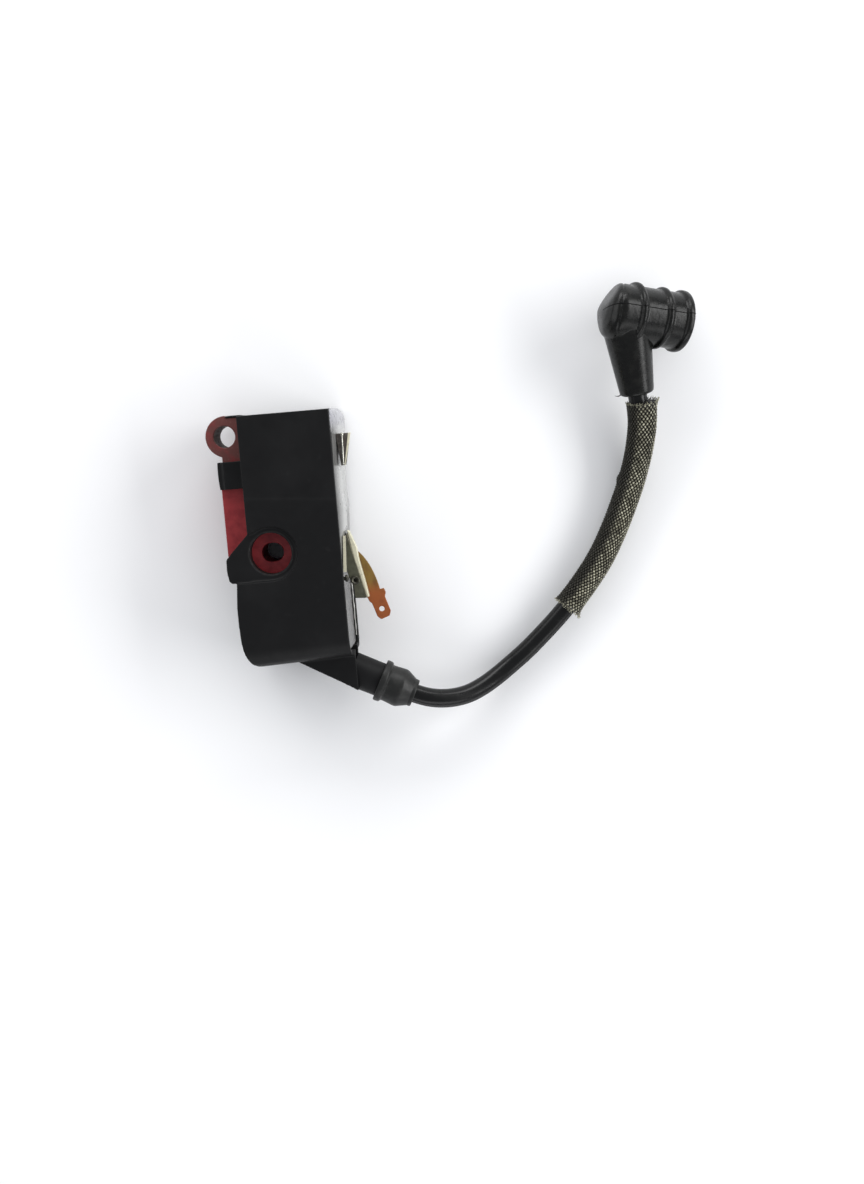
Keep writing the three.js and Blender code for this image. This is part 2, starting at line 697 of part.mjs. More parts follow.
function plugBoot() {
  const barrel = onBarrel([
    [0, -7.0], [3.0, -6.8], [5.2, -6.2], [6.7, -5.2], [7.45, -4.1], [7.65, -3.0], [7.65, 1.1], [8.4, 1.3],
    [8.5, 2.7], [7.7, 3.0], [7.65, 9.3], [8.3, 9.5], [8.35, 10.9], [7.7, 11.2], [7.65, 15.2], [8.25, 15.4],
    [8.35, 17.0], [8.0, MOUTH], [0, MOUTH],
  ]);
  const leg = onLeg([
    [0, -LEG_LENGTH], [4.45, -LEG_LENGTH], [4.6, -LEG_LENGTH + 0.3], [6.8, -2.0], [6.2, 0.5], [0, 1.5],
  ]);
  const socket = onBarrel(
    [[0, -4.2], [4.4, -4.2], [5.0, -3.6], [5.0, 14.6], [5.9, 16.0], [5.9, MOUTH + 1], [0, MOUTH + 1]],
    28,
  );
  const leadBore = onLeg([[0, -LEG_LENGTH - 2], [LEAD_BORE, -LEG_LENGTH - 2], [LEAD_BORE, 0], [0, 0]], 24);
  return barrel.add(leg).subtract(socket).subtract(leadBore);
}

// A wire spring wound round the plug terminal's place, with a tail that reaches for the lead.
function contactSpring() {
  const turns = 2.5;
  const along = barrelDirection;
  const side = new THREE.Vector3(0, 0, 1);
  const across = new THREE.Vector3().crossVectors(side, along);
  const points = [];
  const perTurn = 10;
  for (let i = 0; i <= turns * perTurn; i++) {
    const angle = (i / perTurn) * 2 * Math.PI - Math.PI / 2;
    const point = new THREE.Vector3()
      .addScaledVector(along, -2.2 + (i / perTurn) * 1.7)
      .addScaledVector(across, 3.9 * Math.sin(angle))
      .addScaledVector(side, 3.9 * Math.cos(angle));
    points.push(point);
  }
  const curve = new THREE.CatmullRomCurve3(points);
  return new THREE.ExtrudeGeometry(circle(0.4, 6), {
    steps: points.length * 2,
    bevelEnabled: false,
    extrudePath: curve,
  });
}

// ---------------------------------------------------------------- HT lead
function circle(radius, sides) {
  const points = [];
  for (let i = 0; i < sides; i++) {
    const angle = (i / sides) * 2 * Math.PI;
    points.push(new THREE.Vector2(radius * Math.cos(angle), radius * Math.sin(angle)));
  }
  return new THREE.Shape(points);
}

function outletPoint(station) {
  return new THREE.Vector3(
    MODULE_X + OUTLET.x + station * Math.cos(OUTLET.angle),
    MODULE_Y + OUTLET.y + station * Math.sin(OUTLET.angle),
    OUTLET.z,
  );
}

function legPoint(distance) {
  return new THREE.Vector3(0, -distance, 0).applyEuler(bootTurn).add(ELBOW);
}

// Straight out of the snout, down to the surface, along it in one wide bend, and up into the boot.
const leadRoute = new THREE.CatmullRomCurve3(
  [
    outletPoint(-6), outletPoint(1), outletPoint(8), outletPoint(13), outletPoint(16),
    ...[
      [28.6, -40.6, 11.5],
      [33.7, -41.5, 10.0],
      [39.0, -41.2, 7.9],
      [43.7, -39.6, 5.9],
      [47.9, -37.3, 4.3],
      [52.3, -34.3, 3.4],
      [57.2, -30.5, 3.4],
      [62.1, -26.1, 3.8],
      [66.2, -22.2, 4.0],
      [71.1, -17.1, 4.0],
      [75.9, -11.4, 4.0],
      [79.9, -5.9, 4.0],
      [83.4, 0.2, 4.0],
      [86.5, 6.6, 4.1],
      [89.2, 13.2, 4.5],
      [91.2, 19.7, 5.4],
      [92.6, 26.0, 6.8],
      [93.3, 32.0, 8.15],
    ].map(([x, y, z]) => new THREE.Vector3(x, y, z)),
    legPoint(LEG_LENGTH + 0.6), legPoint(LEG_LENGTH - 3), legPoint(15), legPoint(LEAD_END),
  ],
  false,
  "centripetal",
);
leadRoute.arcLengthDivisions = 400;

// The stretch of the route between two fractions of its length.
class Stretch extends THREE.Curve {
  constructor(from, to) {
    super();
    this.from = from;
    this.to = to;
  }

  getPoint(t, target = new THREE.Vector3()) {
    return leadRoute.getPointAt(this.from + (this.to - this.from) * t, target);
  }
}

const SLEEVE_FROM = 0.488;
const SLEEVE_TO = 0.884;

function leadTube() {
  return new THREE.ExtrudeGeometry(circle(LEAD_RADIUS, 12), {
    steps: 44,
    bevelEnabled: false,
    extrudePath: new Stretch(0, 1),
  });
}

function sleeveTube() {
  const section = circle(SLEEVE_OUTER, 12);
  section.holes.push(circle(SLEEVE_INNER, 12));
  return new THREE.ExtrudeGeometry(section, {
    steps: 18,
    bevelEnabled: false,
    extrudePath: new Stretch(SLEEVE_FROM, SLEEVE_TO),
  });
}

// ---------------------------------------------------------------- assembly
piece("housing", housing(), FINISH.tub);
piece("potting_resin", pottingResin(), FINISH.resin);

piece("upper_core_stack", upperCore(), FINISH.lacquer);
piece("lower_core_stack", lowerCore(), FINISH.lacquer);
piece("coil_core_stack", limb(), FINISH.steel);

piece("primary_bobbin", bobbin(PRIMARY.inner, PRIMARY.wall, PRIMARY.rim, 1), FINISH.bobbin);
piece("primary_winding", chamberWinding(PRIMARY.inner + PRIMARY.wall, PRIMARY.copper, 0, 1), FINISH.winding);
piece("secondary_bobbin", bobbin(SECONDARY.inner, SECONDARY.wall, SECONDARY.rim, CHAMBERS), FINISH.bobbin);
for (let i = 0; i < CHAMBERS; i++) {
  const winding = chamberWinding(SECONDARY.inner + SECONDARY.wall, SECONDARY.copper, i, CHAMBERS);
  piece(`secondary_winding_${i + 1}`, winding, FINISH.winding);
}

piece("circuit_board", circuitBoard(), FINISH.board);
piece("capacitor", block(-1.4, 5.4, -55.4, -48.2, BOARD_TOP, BOARD_TOP + 9), FINISH.film);
piece("power_transistor", transistorBody(11.4, -50.8, 8, 7.5, 3.4), FINISH.component);
piece("control_thyristor", transistorBody(2.4, -59.0, 4.6, 4.6, 3.6), FINISH.component);
piece("clamp_diode", axialPart(11.4, -55.6, 5, 1.3), FINISH.component);
piece("trigger_resistor", axialPart(11.4, -59.8, 5.6, 1.1), FINISH.bobbin);

piece("ht_link_wire", linkWire(), FINISH.copper);
piece("ht_contact_spike", contactSpike(), FINISH.nickel);
piece("outlet_snout", outletSnout(), FINISH.tub);
piece("outlet_cap", outletCap(), FINISH.rubber);

piece("earth_bracket", earthBracket(), FINISH.olive);
piece("bracket_eyelet", bracketEyelet(), FINISH.nickel);
piece("bracket_pin", bracketPin(), FINISH.steel);
piece("stop_terminal", stopTerminal(), FINISH.copper);
piece("earth_lug", earthLug(), FINISH.olive);
piece("lug_pin", lugPin(), FINISH.nickel);

piece("ht_lead", leadTube(), FINISH.lead, root);
piece("braided_sleeve", sleeveTube(), FINISH.braid, root);
piece("plug_boot", plugBoot(), FINISH.rubber, boot);
piece("plug_contact_spring", contactSpring(), FINISH.nickel, boot);

export default root;
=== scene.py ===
import json
import math
import random

import bmesh
import bpy
import numpy as np
from mathutils import Matrix, Vector
from mathutils.geometry import tessellate_polygon


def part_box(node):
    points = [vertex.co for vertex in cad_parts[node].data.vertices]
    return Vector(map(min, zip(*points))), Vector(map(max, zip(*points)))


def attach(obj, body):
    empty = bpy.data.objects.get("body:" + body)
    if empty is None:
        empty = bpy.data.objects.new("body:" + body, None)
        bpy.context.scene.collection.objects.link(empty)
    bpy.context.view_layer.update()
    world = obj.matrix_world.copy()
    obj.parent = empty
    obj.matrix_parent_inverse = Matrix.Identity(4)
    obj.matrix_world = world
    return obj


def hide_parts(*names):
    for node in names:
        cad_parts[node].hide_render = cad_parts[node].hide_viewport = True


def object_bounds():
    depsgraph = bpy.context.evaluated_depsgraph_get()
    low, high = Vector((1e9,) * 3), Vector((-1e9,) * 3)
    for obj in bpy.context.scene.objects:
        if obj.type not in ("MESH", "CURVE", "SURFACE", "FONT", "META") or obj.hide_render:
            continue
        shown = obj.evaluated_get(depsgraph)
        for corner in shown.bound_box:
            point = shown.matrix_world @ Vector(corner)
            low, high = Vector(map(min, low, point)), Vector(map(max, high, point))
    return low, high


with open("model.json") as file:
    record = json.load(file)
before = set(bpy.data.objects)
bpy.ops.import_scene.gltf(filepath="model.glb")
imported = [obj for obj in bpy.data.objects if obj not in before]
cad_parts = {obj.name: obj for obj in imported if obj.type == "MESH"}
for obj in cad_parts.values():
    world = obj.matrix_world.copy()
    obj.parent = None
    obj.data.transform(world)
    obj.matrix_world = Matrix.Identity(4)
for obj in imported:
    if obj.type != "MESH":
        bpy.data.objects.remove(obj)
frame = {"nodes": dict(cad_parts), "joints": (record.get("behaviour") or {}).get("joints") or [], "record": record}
cad_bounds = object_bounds()

MM = 0.001
NODES = frame["nodes"]
MOUNTS = {m["name"]: m for m in frame["record"]["mounts"]}

# ------------ where things are, in millimetres
# The tub's own origin is its top left front corner, as seen from the front.
TUB_RIM_BACK = 25.3
TUB_RIM_FRONT = 24.5
TUB_BOTTOM = -68.2
TUB_DEPTH = 24.0
LEFT_WALL = -0.6
TAB_RISE = 0.4
CORE_LOW = 6.0
CORE_HIGH = 18.0
EYE_HOLE = (-5.15, -5.25)
EYE_RIM = (-4.63, -5.25)
EYE_HOLE_RADIUS = 3.0
EYE_RIM_RADIUS = 5.7
SLOT = (5.2, -37.8)
SINK_RADIUS = 5.7
SHEET_EDGE = 0.12

tub_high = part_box("housing")[1] / MM
ORIGIN = np.array([tub_high.x - TUB_RIM_BACK, tub_high.y - TAB_RISE, 0.0])


def tub(x, y, z):
    """A point given from the tub's origin, in the row frame."""
    return ORIGIN + np.array([x, y, z])


def unit(v):
    """A vector, or each row of vectors, at length 1."""
    v = np.asarray(v, float)
    return v / np.linalg.norm(v, axis=-1, keepdims=True)


# The outlet's axis leaves the tub's rim; the boot turns about the joint's axis.
OUTLET = tub(25.4, -73.65, 12.0)
OUTLET_TURN = math.radians(-26.5)
OUTLET_AXIS = np.array([math.cos(OUTLET_TURN), math.sin(OUTLET_TURN), 0.0])
SWIVEL = frame["joints"][0]
ELBOW = np.array(SWIVEL["pos_m"]) / MM
LEG_AXIS = unit(SWIVEL["axis"])
BARREL_AXIS = unit(MOUNTS["boot_mouth_face"]["axis"])
LEG_LENGTH = 22.4
LEAD_END = 6.6
LEAD_RADIUS = 2.65
SLEEVE_RADIUS = 3.8

# ------------ mesh tools, in millimetres


def linked(name, data):
    """A new object in the scene."""
    obj = bpy.data.objects.new(name, data)
    bpy.context.scene.collection.objects.link(obj)
    return obj


def raw_mesh(name, part):
    """A mesh from (points, faces) in millimetres."""
    mesh = bpy.data.meshes.new(name)
    mesh.from_pydata((np.asarray(part[0], float) * MM).tolist(), [], part[1])
    return mesh


def clean_mesh(name, part):
    """The same with its seams closed and its faces turned outwards."""
    mesh = raw_mesh(name, part)
    bm = bmesh.new()
    bm.from_mesh(mesh)
    bmesh.ops.remove_doubles(bm, verts=bm.verts, dist=1e-7)
    bmesh.ops.recalc_face_normals(bm, faces=bm.faces)
    bm.to_mesh(mesh)
    bm.free()
    return mesh


def make(name, part, paint, body="module", sharp=40, stands_for=()):
    """A piece from (points, faces) in millimetres, riding on a body and standing for CAD nodes."""
    return place(name, clean_mesh(name, part), paint, body, sharp, stands_for)


def place(name, mesh, paint, body="module", sharp=40, stands_for=()):
    """A piece from a finished mesh; sharp is the angle past which an edge isn't shaded smooth."""
    material = PAINT[paint]
    mesh.materials.clear()
    mesh.materials.append(material)
    mesh.shade_smooth()
    mesh.set_sharp_from_angle(angle=math.radians(sharp))
    obj = linked(name, mesh)
    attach(obj, body)
    if stands_for:
        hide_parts(*stands_for)
    return obj


def merged(parts):
    """One (points, faces) from several."""
    points, faces, start = [], [], 0
    for part_points, part_faces in parts:
        points.append(np.asarray(part_points, float))
        faces.extend([tuple(i + start for i in face) for face in part_faces])
        start += len(part_points)
    return np.vstack(points), faces


def rounded(points, radius, steps=3):
    """An open line of 2-D points with its inner corners turned into short curves."""
    line = [np.array(points[0], float)]
    for before, corner, after in zip(points, points[1:], points[2:]):
        a, b, c = (np.array(p, float) for p in (before, corner, after))
        reach_a = min(radius, np.linalg.norm(a - b) * 0.45)
        reach_c = min(radius, np.linalg.norm(c - b) * 0.45)
        start = b + unit(a - b) * reach_a
        end = b + unit(c - b) * reach_c
        for i in range(steps + 1):
            t = i / steps
            line.append((1 - t) ** 2 * start + 2 * t * (1 - t) * b + t * t * end)
    line.append(np.array(points[-1], float))
    return line


def rounded_loop(points, radius, steps=3):
    """A closed outline with every corner turned into a short curve."""
    closed = [points[-1], *points, points[0]]
    return rounded(closed, radius, steps)[1:-1]


def arc(centre, radius, start, end, steps):
    """Points on an arc, with angles in degrees."""
    turn = np.radians(np.linspace(start, end, steps + 1))
    return [(centre[0] + radius * math.cos(a), centre[1] + radius * math.sin(a)) for a in turn]


def basis(axis, towards):
    """Two directions square to axis, the first as near to towards as can be."""
    axis = unit(axis)
    first = unit(np.asarray(towards, float) - axis * np.dot(axis, towards))
    return first, np.cross(axis, first)


def lathe(profile, origin, axis, segments=64, towards=(0, 0, 1)):
    """A turned form from (radius, station) pairs; a radius of 0 closes it on the axis."""
    first, second = basis(axis, towards)
    axis = unit(axis)
    points, rings = [], []
    for radius, station in profile:
        centre = np.asarray(origin, float) + axis * station
        if radius < 1e-6:
            rings.append([len(points)])
            points.append(centre)
            continue
        rings.append(list(range(len(points), len(points) + segments)))
        for i in range(segments):
            a = 2 * math.pi * i / segments
            points.append(centre + radius * (math.cos(a) * first + math.sin(a) * second))
    faces = []
    for low, high in zip(rings, rings[1:]):
        faces.extend(bridge(low, high))
    return np.array(points), faces


def bridge(low, high):
    """Faces between two rings of point numbers, either of which may be one point."""
    faces = []
    count = max(len(low), len(high))
    for i in range(count):
        j = (i + 1) % count
        if len(low) == 1 and len(high) > 1:
            faces.append((low[0], high[j], high[i]))
        elif len(high) == 1 and len(low) > 1:
            faces.append((low[i], low[j], high[0]))
        elif len(low) > 1:
            faces.append((low[i], low[j], high[j], high[i]))
    return faces


def turned_ring(profile, origin, axis, segments=64, towards=(0, 0, 1)):
    """A turned form with a hole: the profile closes on itself."""
    return lathe([*profile, profile[0]], origin, axis, segments, towards)


def offset_loop(loop, amount):
    """A closed outline, counter-clockwise, moved outwards by amount along its corners' normals."""
    pts = np.array(loop, float)
    ahead = np.roll(pts, -1, axis=0) - pts
    ahead /= np.maximum(np.linalg.norm(ahead, axis=1, keepdims=True), 1e-9)
    behind = np.roll(ahead, 1, axis=0)
    normal = np.stack([ahead[:, 1] + behind[:, 1], -(ahead[:, 0] + behind[:, 0])], axis=1)
    length = np.linalg.norm(normal, axis=1, keepdims=True)
    normal /= np.maximum(length, 1e-9)
    return pts + normal * amount / np.maximum(length / 2, 0.5)


def stack(loops, levels):
    """Outlines raised through (z, inset) levels. The first loop is the outer one, others are holes."""
    points, faces, rings = [], [], []
    for number, loop in enumerate(loops):
        sign = -1 if number == 0 else 1
        own = []
        for z, inset in levels:
            moved = offset_loop(loop, sign * inset)
            own.append(list(range(len(points), len(points) + len(moved))))
            points.extend([(x, y, z) for x, y in moved])
        for low, high in zip(own, own[1:]):
            faces.extend(bridge(low, high))
        rings.append(own)
    for level in (0, -1):
        ends = [[Vector(points[i]) for i in own[level]] for own in rings]
        numbers = [i for own in rings for i in own[level]]
        faces.extend([tuple(numbers[i] for i in tri) for tri in tessellate_polygon(ends)])
    return np.array(points), faces


def plate(loops, low, high, edge=SHEET_EDGE):
    """A flat sheet with softened edges."""
    return stack(loops, [(low, edge), (low + edge, 0), (high - edge, 0), (high, edge)])


def in_tub(part):
    return part[0] + ORIGIN, part[1]


def oval(across, above, sides):
    """An oval section for swept, given by its half widths."""
    return [(across * math.cos(a), above * math.sin(a)) for a in 2 * math.pi * np.arange(sides) / sides]


def swept(path, right, up, shape, closed_ends=True):
    """A tube: shape(i) gives (across, above) pairs for the i-th point of the path."""
    points, rings = [], []
    for i, centre in enumerate(path):
        section = shape(i)
        rings.append(list(range(len(points), len(points) + len(section))))
        points.extend([centre + a * right[i] + b * up[i] for a, b in section])
    faces = []
    for low, high in zip(rings, rings[1:]):
        faces.extend(bridge(low, high))
    if closed_ends:
        for ring in (rings[0], rings[-1]):
            points.append(np.mean([points[k] for k in ring], axis=0))
            faces.extend(bridge([len(points) - 1], ring))
    return np.array(points), faces


# ------------ the lead's route


def outlet_point(station):
    return OUTLET + OUTLET_AXIS * station


def leg_point(distance):
    return ELBOW + LEG_AXIS * distance


ROUTE_M = [
    (0.0286, -0.0406, 0.0115), (0.0337, -0.0415, 0.0100), (0.0390, -0.0412, 0.0079),
    (0.0437, -0.0396, 0.0059), (0.0479, -0.0373, 0.0043), (0.0523, -0.0343, 0.0034),
    (0.0572, -0.0305, 0.0034), (0.0621, -0.0261, 0.0038), (0.0662, -0.0222, 0.0040),
    (0.0711, -0.0171, 0.0040), (0.0759, -0.0114, 0.0040), (0.0799, -0.0059, 0.0040),
    (0.0834, 0.0002, 0.0040), (0.0865, 0.0066, 0.0041), (0.0892, 0.0132, 0.0045),
    (0.0912, 0.0197, 0.0054), (0.0926, 0.0260, 0.0068), (0.0933, 0.0320, 0.00815),
]
ROUTE = [
    *[outlet_point(s) for s in (-6, 1, 8, 13, 16)],
    *[np.array(p) / MM for p in ROUTE_M],
    *[leg_point(s) for s in (LEG_LENGTH + 0.6, LEG_LENGTH - 3, 15, LEAD_END)],
]


def smooth_line(points, steps=24):
    """A centripetal Catmull-Rom curve through the points."""
    pts = [2 * points[0] - points[1], *points, 2 * points[-1] - points[-2]]
    line = []
    for p0, p1, p2, p3 in zip(pts, pts[1:], pts[2:], pts[3:]):
        d0, d1, d2 = (math.sqrt(np.linalg.norm(b - a)) for a, b in ((p0, p1), (p1, p2), (p2, p3)))
        m1 = ((p1 - p0) / d0 - (p2 - p0) / (d0 + d1) + (p2 - p1) / d1) * d1
        m2 = ((p2 - p1) / d1 - (p3 - p1) / (d1 + d2) + (p3 - p2) / d2) * d1
        for t in np.arange(steps) / steps:
            a = 2 * t**3 - 3 * t**2 + 1
            b = t**3 - 2 * t**2 + t
            c = -2 * t**3 + 3 * t**2
            d = t**3 - t**2
            line.append(a * p1 + b * m1 + c * p2 + d * m2)
    line.append(points[-1])
    return np.array(line)


DENSE = smooth_line(ROUTE)
DENSE_LENGTH = np.concatenate([[0], np.cumsum(np.linalg.norm(np.diff(DENSE, axis=0), axis=1))])
LEAD_LENGTH = DENSE_LENGTH[-1]


def lead_line(start, end, count):
    """Points, outward directions and upward directions along a stretch, given as shares of it."""
    at = np.linspace(start, end, count) * LEAD_LENGTH
    line = np.stack([np.interp(at, DENSE_LENGTH, DENSE[:, k]) for k in range(3)], axis=1)
    along = unit(np.gradient(line, axis=0))
    right = unit(np.cross(along, (0, 0, 1)))
    return line, right, np.cross(right, along)


# ------------ materials


class Paint:
    """A node material on a Principled shader, with coordinates in millimetres on the piece."""

    def __init__(self, name, slot, color, roughness, metallic=0.0, specular=0.5):
        self.material = bpy.data.materials.new(name)
        self.material["slot"] = slot
        self.material.use_nodes = True
        self.tree = self.material.node_tree
        self.shader = self.tree.nodes["Principled BSDF"]
        self.shader.inputs["Roughness"].default_value = roughness
        self.shader.inputs["Metallic"].default_value = metallic
        self.shader.inputs["Specular IOR Level"].default_value = specular
        self.roughness = roughness
        self.color = self.constant(color)
        self.height = None
        where = self.node("TexCoord")
        scale = self.node("Mapping", Scale=(1 / MM, 1 / MM, 1 / MM))
        self.link(where.outputs["Object"], scale.inputs["Vector"])
        self.where = scale.outputs["Vector"]

    def node(self, kind, **values):
        """A new node, with the named inputs set."""
        node = self.tree.nodes.new("ShaderNode" + kind)
        for key, value in values.items():
            node.inputs[key].default_value = value
        return node

    def link(self, source, target):
        self.tree.links.new(source, target)

    def constant(self, color):
        node = self.node("RGB")
        node.outputs[0].default_value = (*color, 1)
        return node.outputs[0]

    def noise(self, scale, detail=4, stretch=(1, 1, 1), roughness=0.55):
        vector = self.where
        if stretch != (1, 1, 1):
            mapping = self.node("Mapping", Scale=stretch)
            self.link(vector, mapping.inputs["Vector"])
            vector = mapping.outputs["Vector"]
        node = self.node("TexNoise", Scale=scale, Detail=detail, Roughness=roughness)
        self.link(vector, node.inputs["Vector"])
        return node.outputs["Fac"]

    def bands(self, scale, direction="Z"):
        node = self.node("TexWave", Scale=scale, Distortion=0)
        node.bands_direction = direction
        self.link(self.where, node.inputs["Vector"])
        return node.outputs["Fac"]

    def attribute(self, name):
        node = self.node("Attribute")
        node.attribute_name = name
        return node.outputs["Fac"]

    def ramp(self, value, low, high, out_low=0.0, out_high=1.0):
        limits = {"From Min": low, "From Max": high, "To Min": out_low, "To Max": out_high}
        node = self.node("MapRange", **limits)
        node.interpolation_type = "SMOOTHSTEP"
        self.link(value, node.inputs["Value"])
        return node.outputs["Result"]

    def along(self, axis, low, high):
        """0 to 1 as a coordinate in millimetres goes from low to high."""
        node = self.node("SeparateXYZ")
        self.link(self.where, node.inputs[0])
        return self.ramp(node.outputs["XYZ".index(axis)], low, high)

    def times(self, a, b):
        node = self.node("Math")
        node.operation = "MULTIPLY"
        for socket, value in zip(node.inputs, (a, b)):
            if isinstance(value, (int, float)):
                socket.default_value = value
            else:
                self.link(value, socket)
        return node.outputs[0]

    def blend(self, color, mask):
        """Paints color over what is there, where mask is 1."""
        node = self.node("Mix")
        node.data_type = "RGBA"
        self.link(mask, node.inputs["Factor"])
        self.link(self.color, node.inputs[6])
        self.link(self.constant(color), node.inputs[7])
        self.color = node.outputs[2]
        return self

    def patches(self, color, scale, detail, low, high, strength=None):
        """Paints color in soft-edged patches."""
        mask = self.ramp(self.noise(scale, detail), low, high)
        return self.blend(color, mask if strength is None else self.times(mask, strength))

    def rough(self, mask, low, high):
        self.link(self.ramp(mask, 0, 1, low, high), self.shader.inputs["Roughness"])
        return self

    def bump(self, height, distance):
        """Adds fine relief; distance is its depth in millimetres."""
        node = self.node("Bump", Distance=distance * MM)
        self.link(height, node.inputs["Height"])
        if self.height is not None:
            self.link(self.height, node.inputs["Normal"])
        self.height = node.outputs["Normal"]
        return self

    def coat(self, weight, roughness=0.1):
        self.shader.inputs["Coat Weight"].default_value = weight
        self.shader.inputs["Coat Roughness"].default_value = roughness
        return self

    def done(self):
        self.link(self.color, self.shader.inputs["Base Color"])
        if self.height is not None:
            self.link(self.height, self.shader.inputs["Normal"])
        return self.material


def tub_plastic():
    p = Paint("tub_plastic", "tub_plastic", (0.005, 0.005, 0.0052), 0.46, specular=0.16)
    p.patches((0.0075, 0.0075, 0.0077), 0.06, 3, 0.4, 0.7)
    smudges = p.ramp(p.noise(0.3, 6, roughness=0.7), 0.58, 0.8)
    p.blend((0.014, 0.014, 0.0138), p.times(smudges, 0.55))
    dust = p.ramp(p.noise(2.6, 2), 0.76, 0.82)
    p.blend((0.07, 0.07, 0.066), p.times(dust, 0.3))
    p.rough(p.noise(0.5, 5), 0.42, 0.58)
    p.bump(p.noise(5, 3), 0.015)
    p.bump(p.noise(0.25, 3), 0.05)
    return p.done()


def painted_sheen_rim():
    # painted sheen: a lighter copy of the tub plastic, so that the rounded edge catches light
    p = Paint("painted_sheen_rim", "tub_plastic", (0.009, 0.0088, 0.0085), 0.45, specular=0.2)
    p.patches((0.022, 0.02, 0.019), 0.8, 5, 0.45, 0.75)
    p.bump(p.noise(3, 3), 0.02)
    return p.done()


def resin_paint():
    """Milky at the swollen end, streaked lengthwise, mottled dark where it is sunk, and darkened towards the front
    rim by painted shade.
    """
    p = Paint("potting_resin", "potting_resin", (0.4, 0.402, 0.39), 0.24)
    p.blend((0.26, 0.262, 0.255), p.times(p.ramp(p.noise(0.3, 2, (1, 0.12, 0.3), 0.4), 0.42, 0.7), 0.7))
    # painted shade: the face darkens towards its front rim, where the curved surface turns from the light
    p.blend((0.06, 0.059, 0.056), p.times(p.along("Z", 15.5, 22.6), 0.85))
    streaks = p.times(p.ramp(p.noise(0.5, 3, (1, 0.15, 0.3), 0.45), 0.56, 0.66), p.along("Y", 21, 13))
    p.blend((0.03, 0.028, 0.026), p.times(streaks, 0.75))
    corner = p.along("Y", 35.5, 39.5)
    p.blend((0.3, 0.3, 0.325), p.times(corner, 1.0))
    clouds = p.times(corner, p.ramp(p.noise(0.7, 4), 0.48, 0.64))
    p.blend((0.1, 0.1, 0.107), p.times(clouds, 0.8))
    low = p.along("Y", 0, -3.5)
    p.blend((0.06, 0.06, 0.058), low)
    p.blend((0.015, 0.015, 0.015), p.times(p.ramp(p.noise(0.7, 4, (1, 0.5, 0.6), 0.55), 0.45, 0.6), low))
    p.blend((0.2, 0.2, 0.19), p.times(p.ramp(p.noise(1.3, 3, (1, 0.6, 0.6)), 0.62, 0.68), low))
    p.rough(p.noise(0.3, 2), 0.22, 0.36)
    return p.coat(0.25, 0.15).done()


def core_lacquer():
    p = Paint("core_lacquer", "core_lacquer", (0.3, 0.03, 0.034), 0.45, specular=0.3)
    p.patches((0.22, 0.018, 0.023), 0.4, 4, 0.4, 0.7)
    upper = p.along("Y", 24, 31)
    p.blend((0.12, 0.038, 0.033), p.times(p.ramp(p.noise(0.22, 3), 0.1, 0.5), upper))
    p.blend((0.19, 0.1, 0.085), p.times(p.ramp(p.noise(1.8, 6), 0.55, 0.75), p.times(upper, 0.5)))
    p.rough(p.noise(0.8, 4), 0.36, 0.58)
    p.bump(p.noise(1.6, 4), 0.03)
    return p.done()


def slot_wall_shade():
    # painted shade: the slot's inner walls are coloured near black for the shade inside the hole
    p = Paint("slot_wall_shade", "core_lacquer", (0.012, 0.009, 0.009), 0.5)
    p.patches((0.05, 0.02, 0.02), 0.9, 4, 0.5, 0.75)
    p.bump(p.bands(1.0), 0.03)
    return p.done()


def eye_bore():
    p = Paint("eye_bore", "core_lacquer", (0.15, 0.115, 0.095), 0.55, 0.1)
    p.patches((0.25, 0.22, 0.19), 0.6, 5, 0.42, 0.7)
    p.blend((0.05, 0.035, 0.03), p.ramp(p.noise(0.5, 4, (1, 1, 0.3)), 0.5, 0.7))
    p.bump(p.bands(1.0), 0.04)
    return p.done()


def plain_paint(name, slot, light, dark, roughness, metallic=0.0, grain=1.5, relief=0.02, coat=0.0):
    """Two tones that drift into each other, over a fine grain."""
    p = Paint(name, slot, light, roughness, metallic)
    p.blend(dark, p.ramp(p.noise(grain * 0.25, 5), 0.35, 0.68))
    p.rough(p.noise(grain, 4), max(roughness - 0.1, 0.05), roughness + 0.12)
    p.bump(p.noise(grain * 3, 3), relief)
    if coat:
        p.coat(coat)
    return p.done()


def olive_plate():
    p = Paint("olive_plate", "olive_plate", (0.1, 0.1, 0.066), 0.42, 0.4)
    p.patches((0.07, 0.068, 0.045), 0.5, 5, 0.4, 0.7)
    p.blend((0.2, 0.195, 0.14), p.times(p.ramp(p.noise(1.2, 5, (1, 0.15, 1)), 0.58, 0.8), 0.6))
    p.rough(p.noise(1.4, 4), 0.32, 0.55)
    p.bump(p.noise(4, 3, (1, 0.12, 1)), 0.012)
    return p.done()


def highlight_edge():
    # painted highlight: a bright cream copy of the olive plating for sheet edges that catch the light
    p = Paint("highlight_edge", "olive_plate", (0.66, 0.63, 0.47), 0.4, 0.15)
    p.patches((0.42, 0.4, 0.29), 0.8, 4, 0.5, 0.75)
    p.bump(p.noise(5, 3), 0.01)
    return p.done()


def lug_plate():
    p = Paint("lug_plate", "olive_plate", (0.075, 0.066, 0.056), 0.42, 0.4)
    p.patches((0.16, 0.15, 0.135), 0.7, 5, 0.5, 0.75)
    p.bump(p.noise(4, 3, (1, 0.12, 1)), 0.012)
    return p.done()


def terminal_brass():
    """Stamped brass with a copper-coloured tab, and darker patches drawn out lengthwise."""
    p = Paint("terminal_brass", "terminal_brass", (0.21, 0.125, 0.026), 0.45, 0.25)
    p.blend((0.13, 0.07, 0.018), p.ramp(p.noise(0.35, 4, (1, 0.3, 1)), 0.42, 0.66))
    p.blend((0.31, 0.085, 0.02), p.along("Y", -5.5, -10.5))
    p.patches((0.2, 0.05, 0.014), 0.6, 5, 0.5, 0.8, 0.7)
    p.rough(p.noise(1.5, 4), 0.36, 0.54)
    p.bump(p.noise(6, 3, (1, 0.2, 1)), 0.01)
    return p.done()


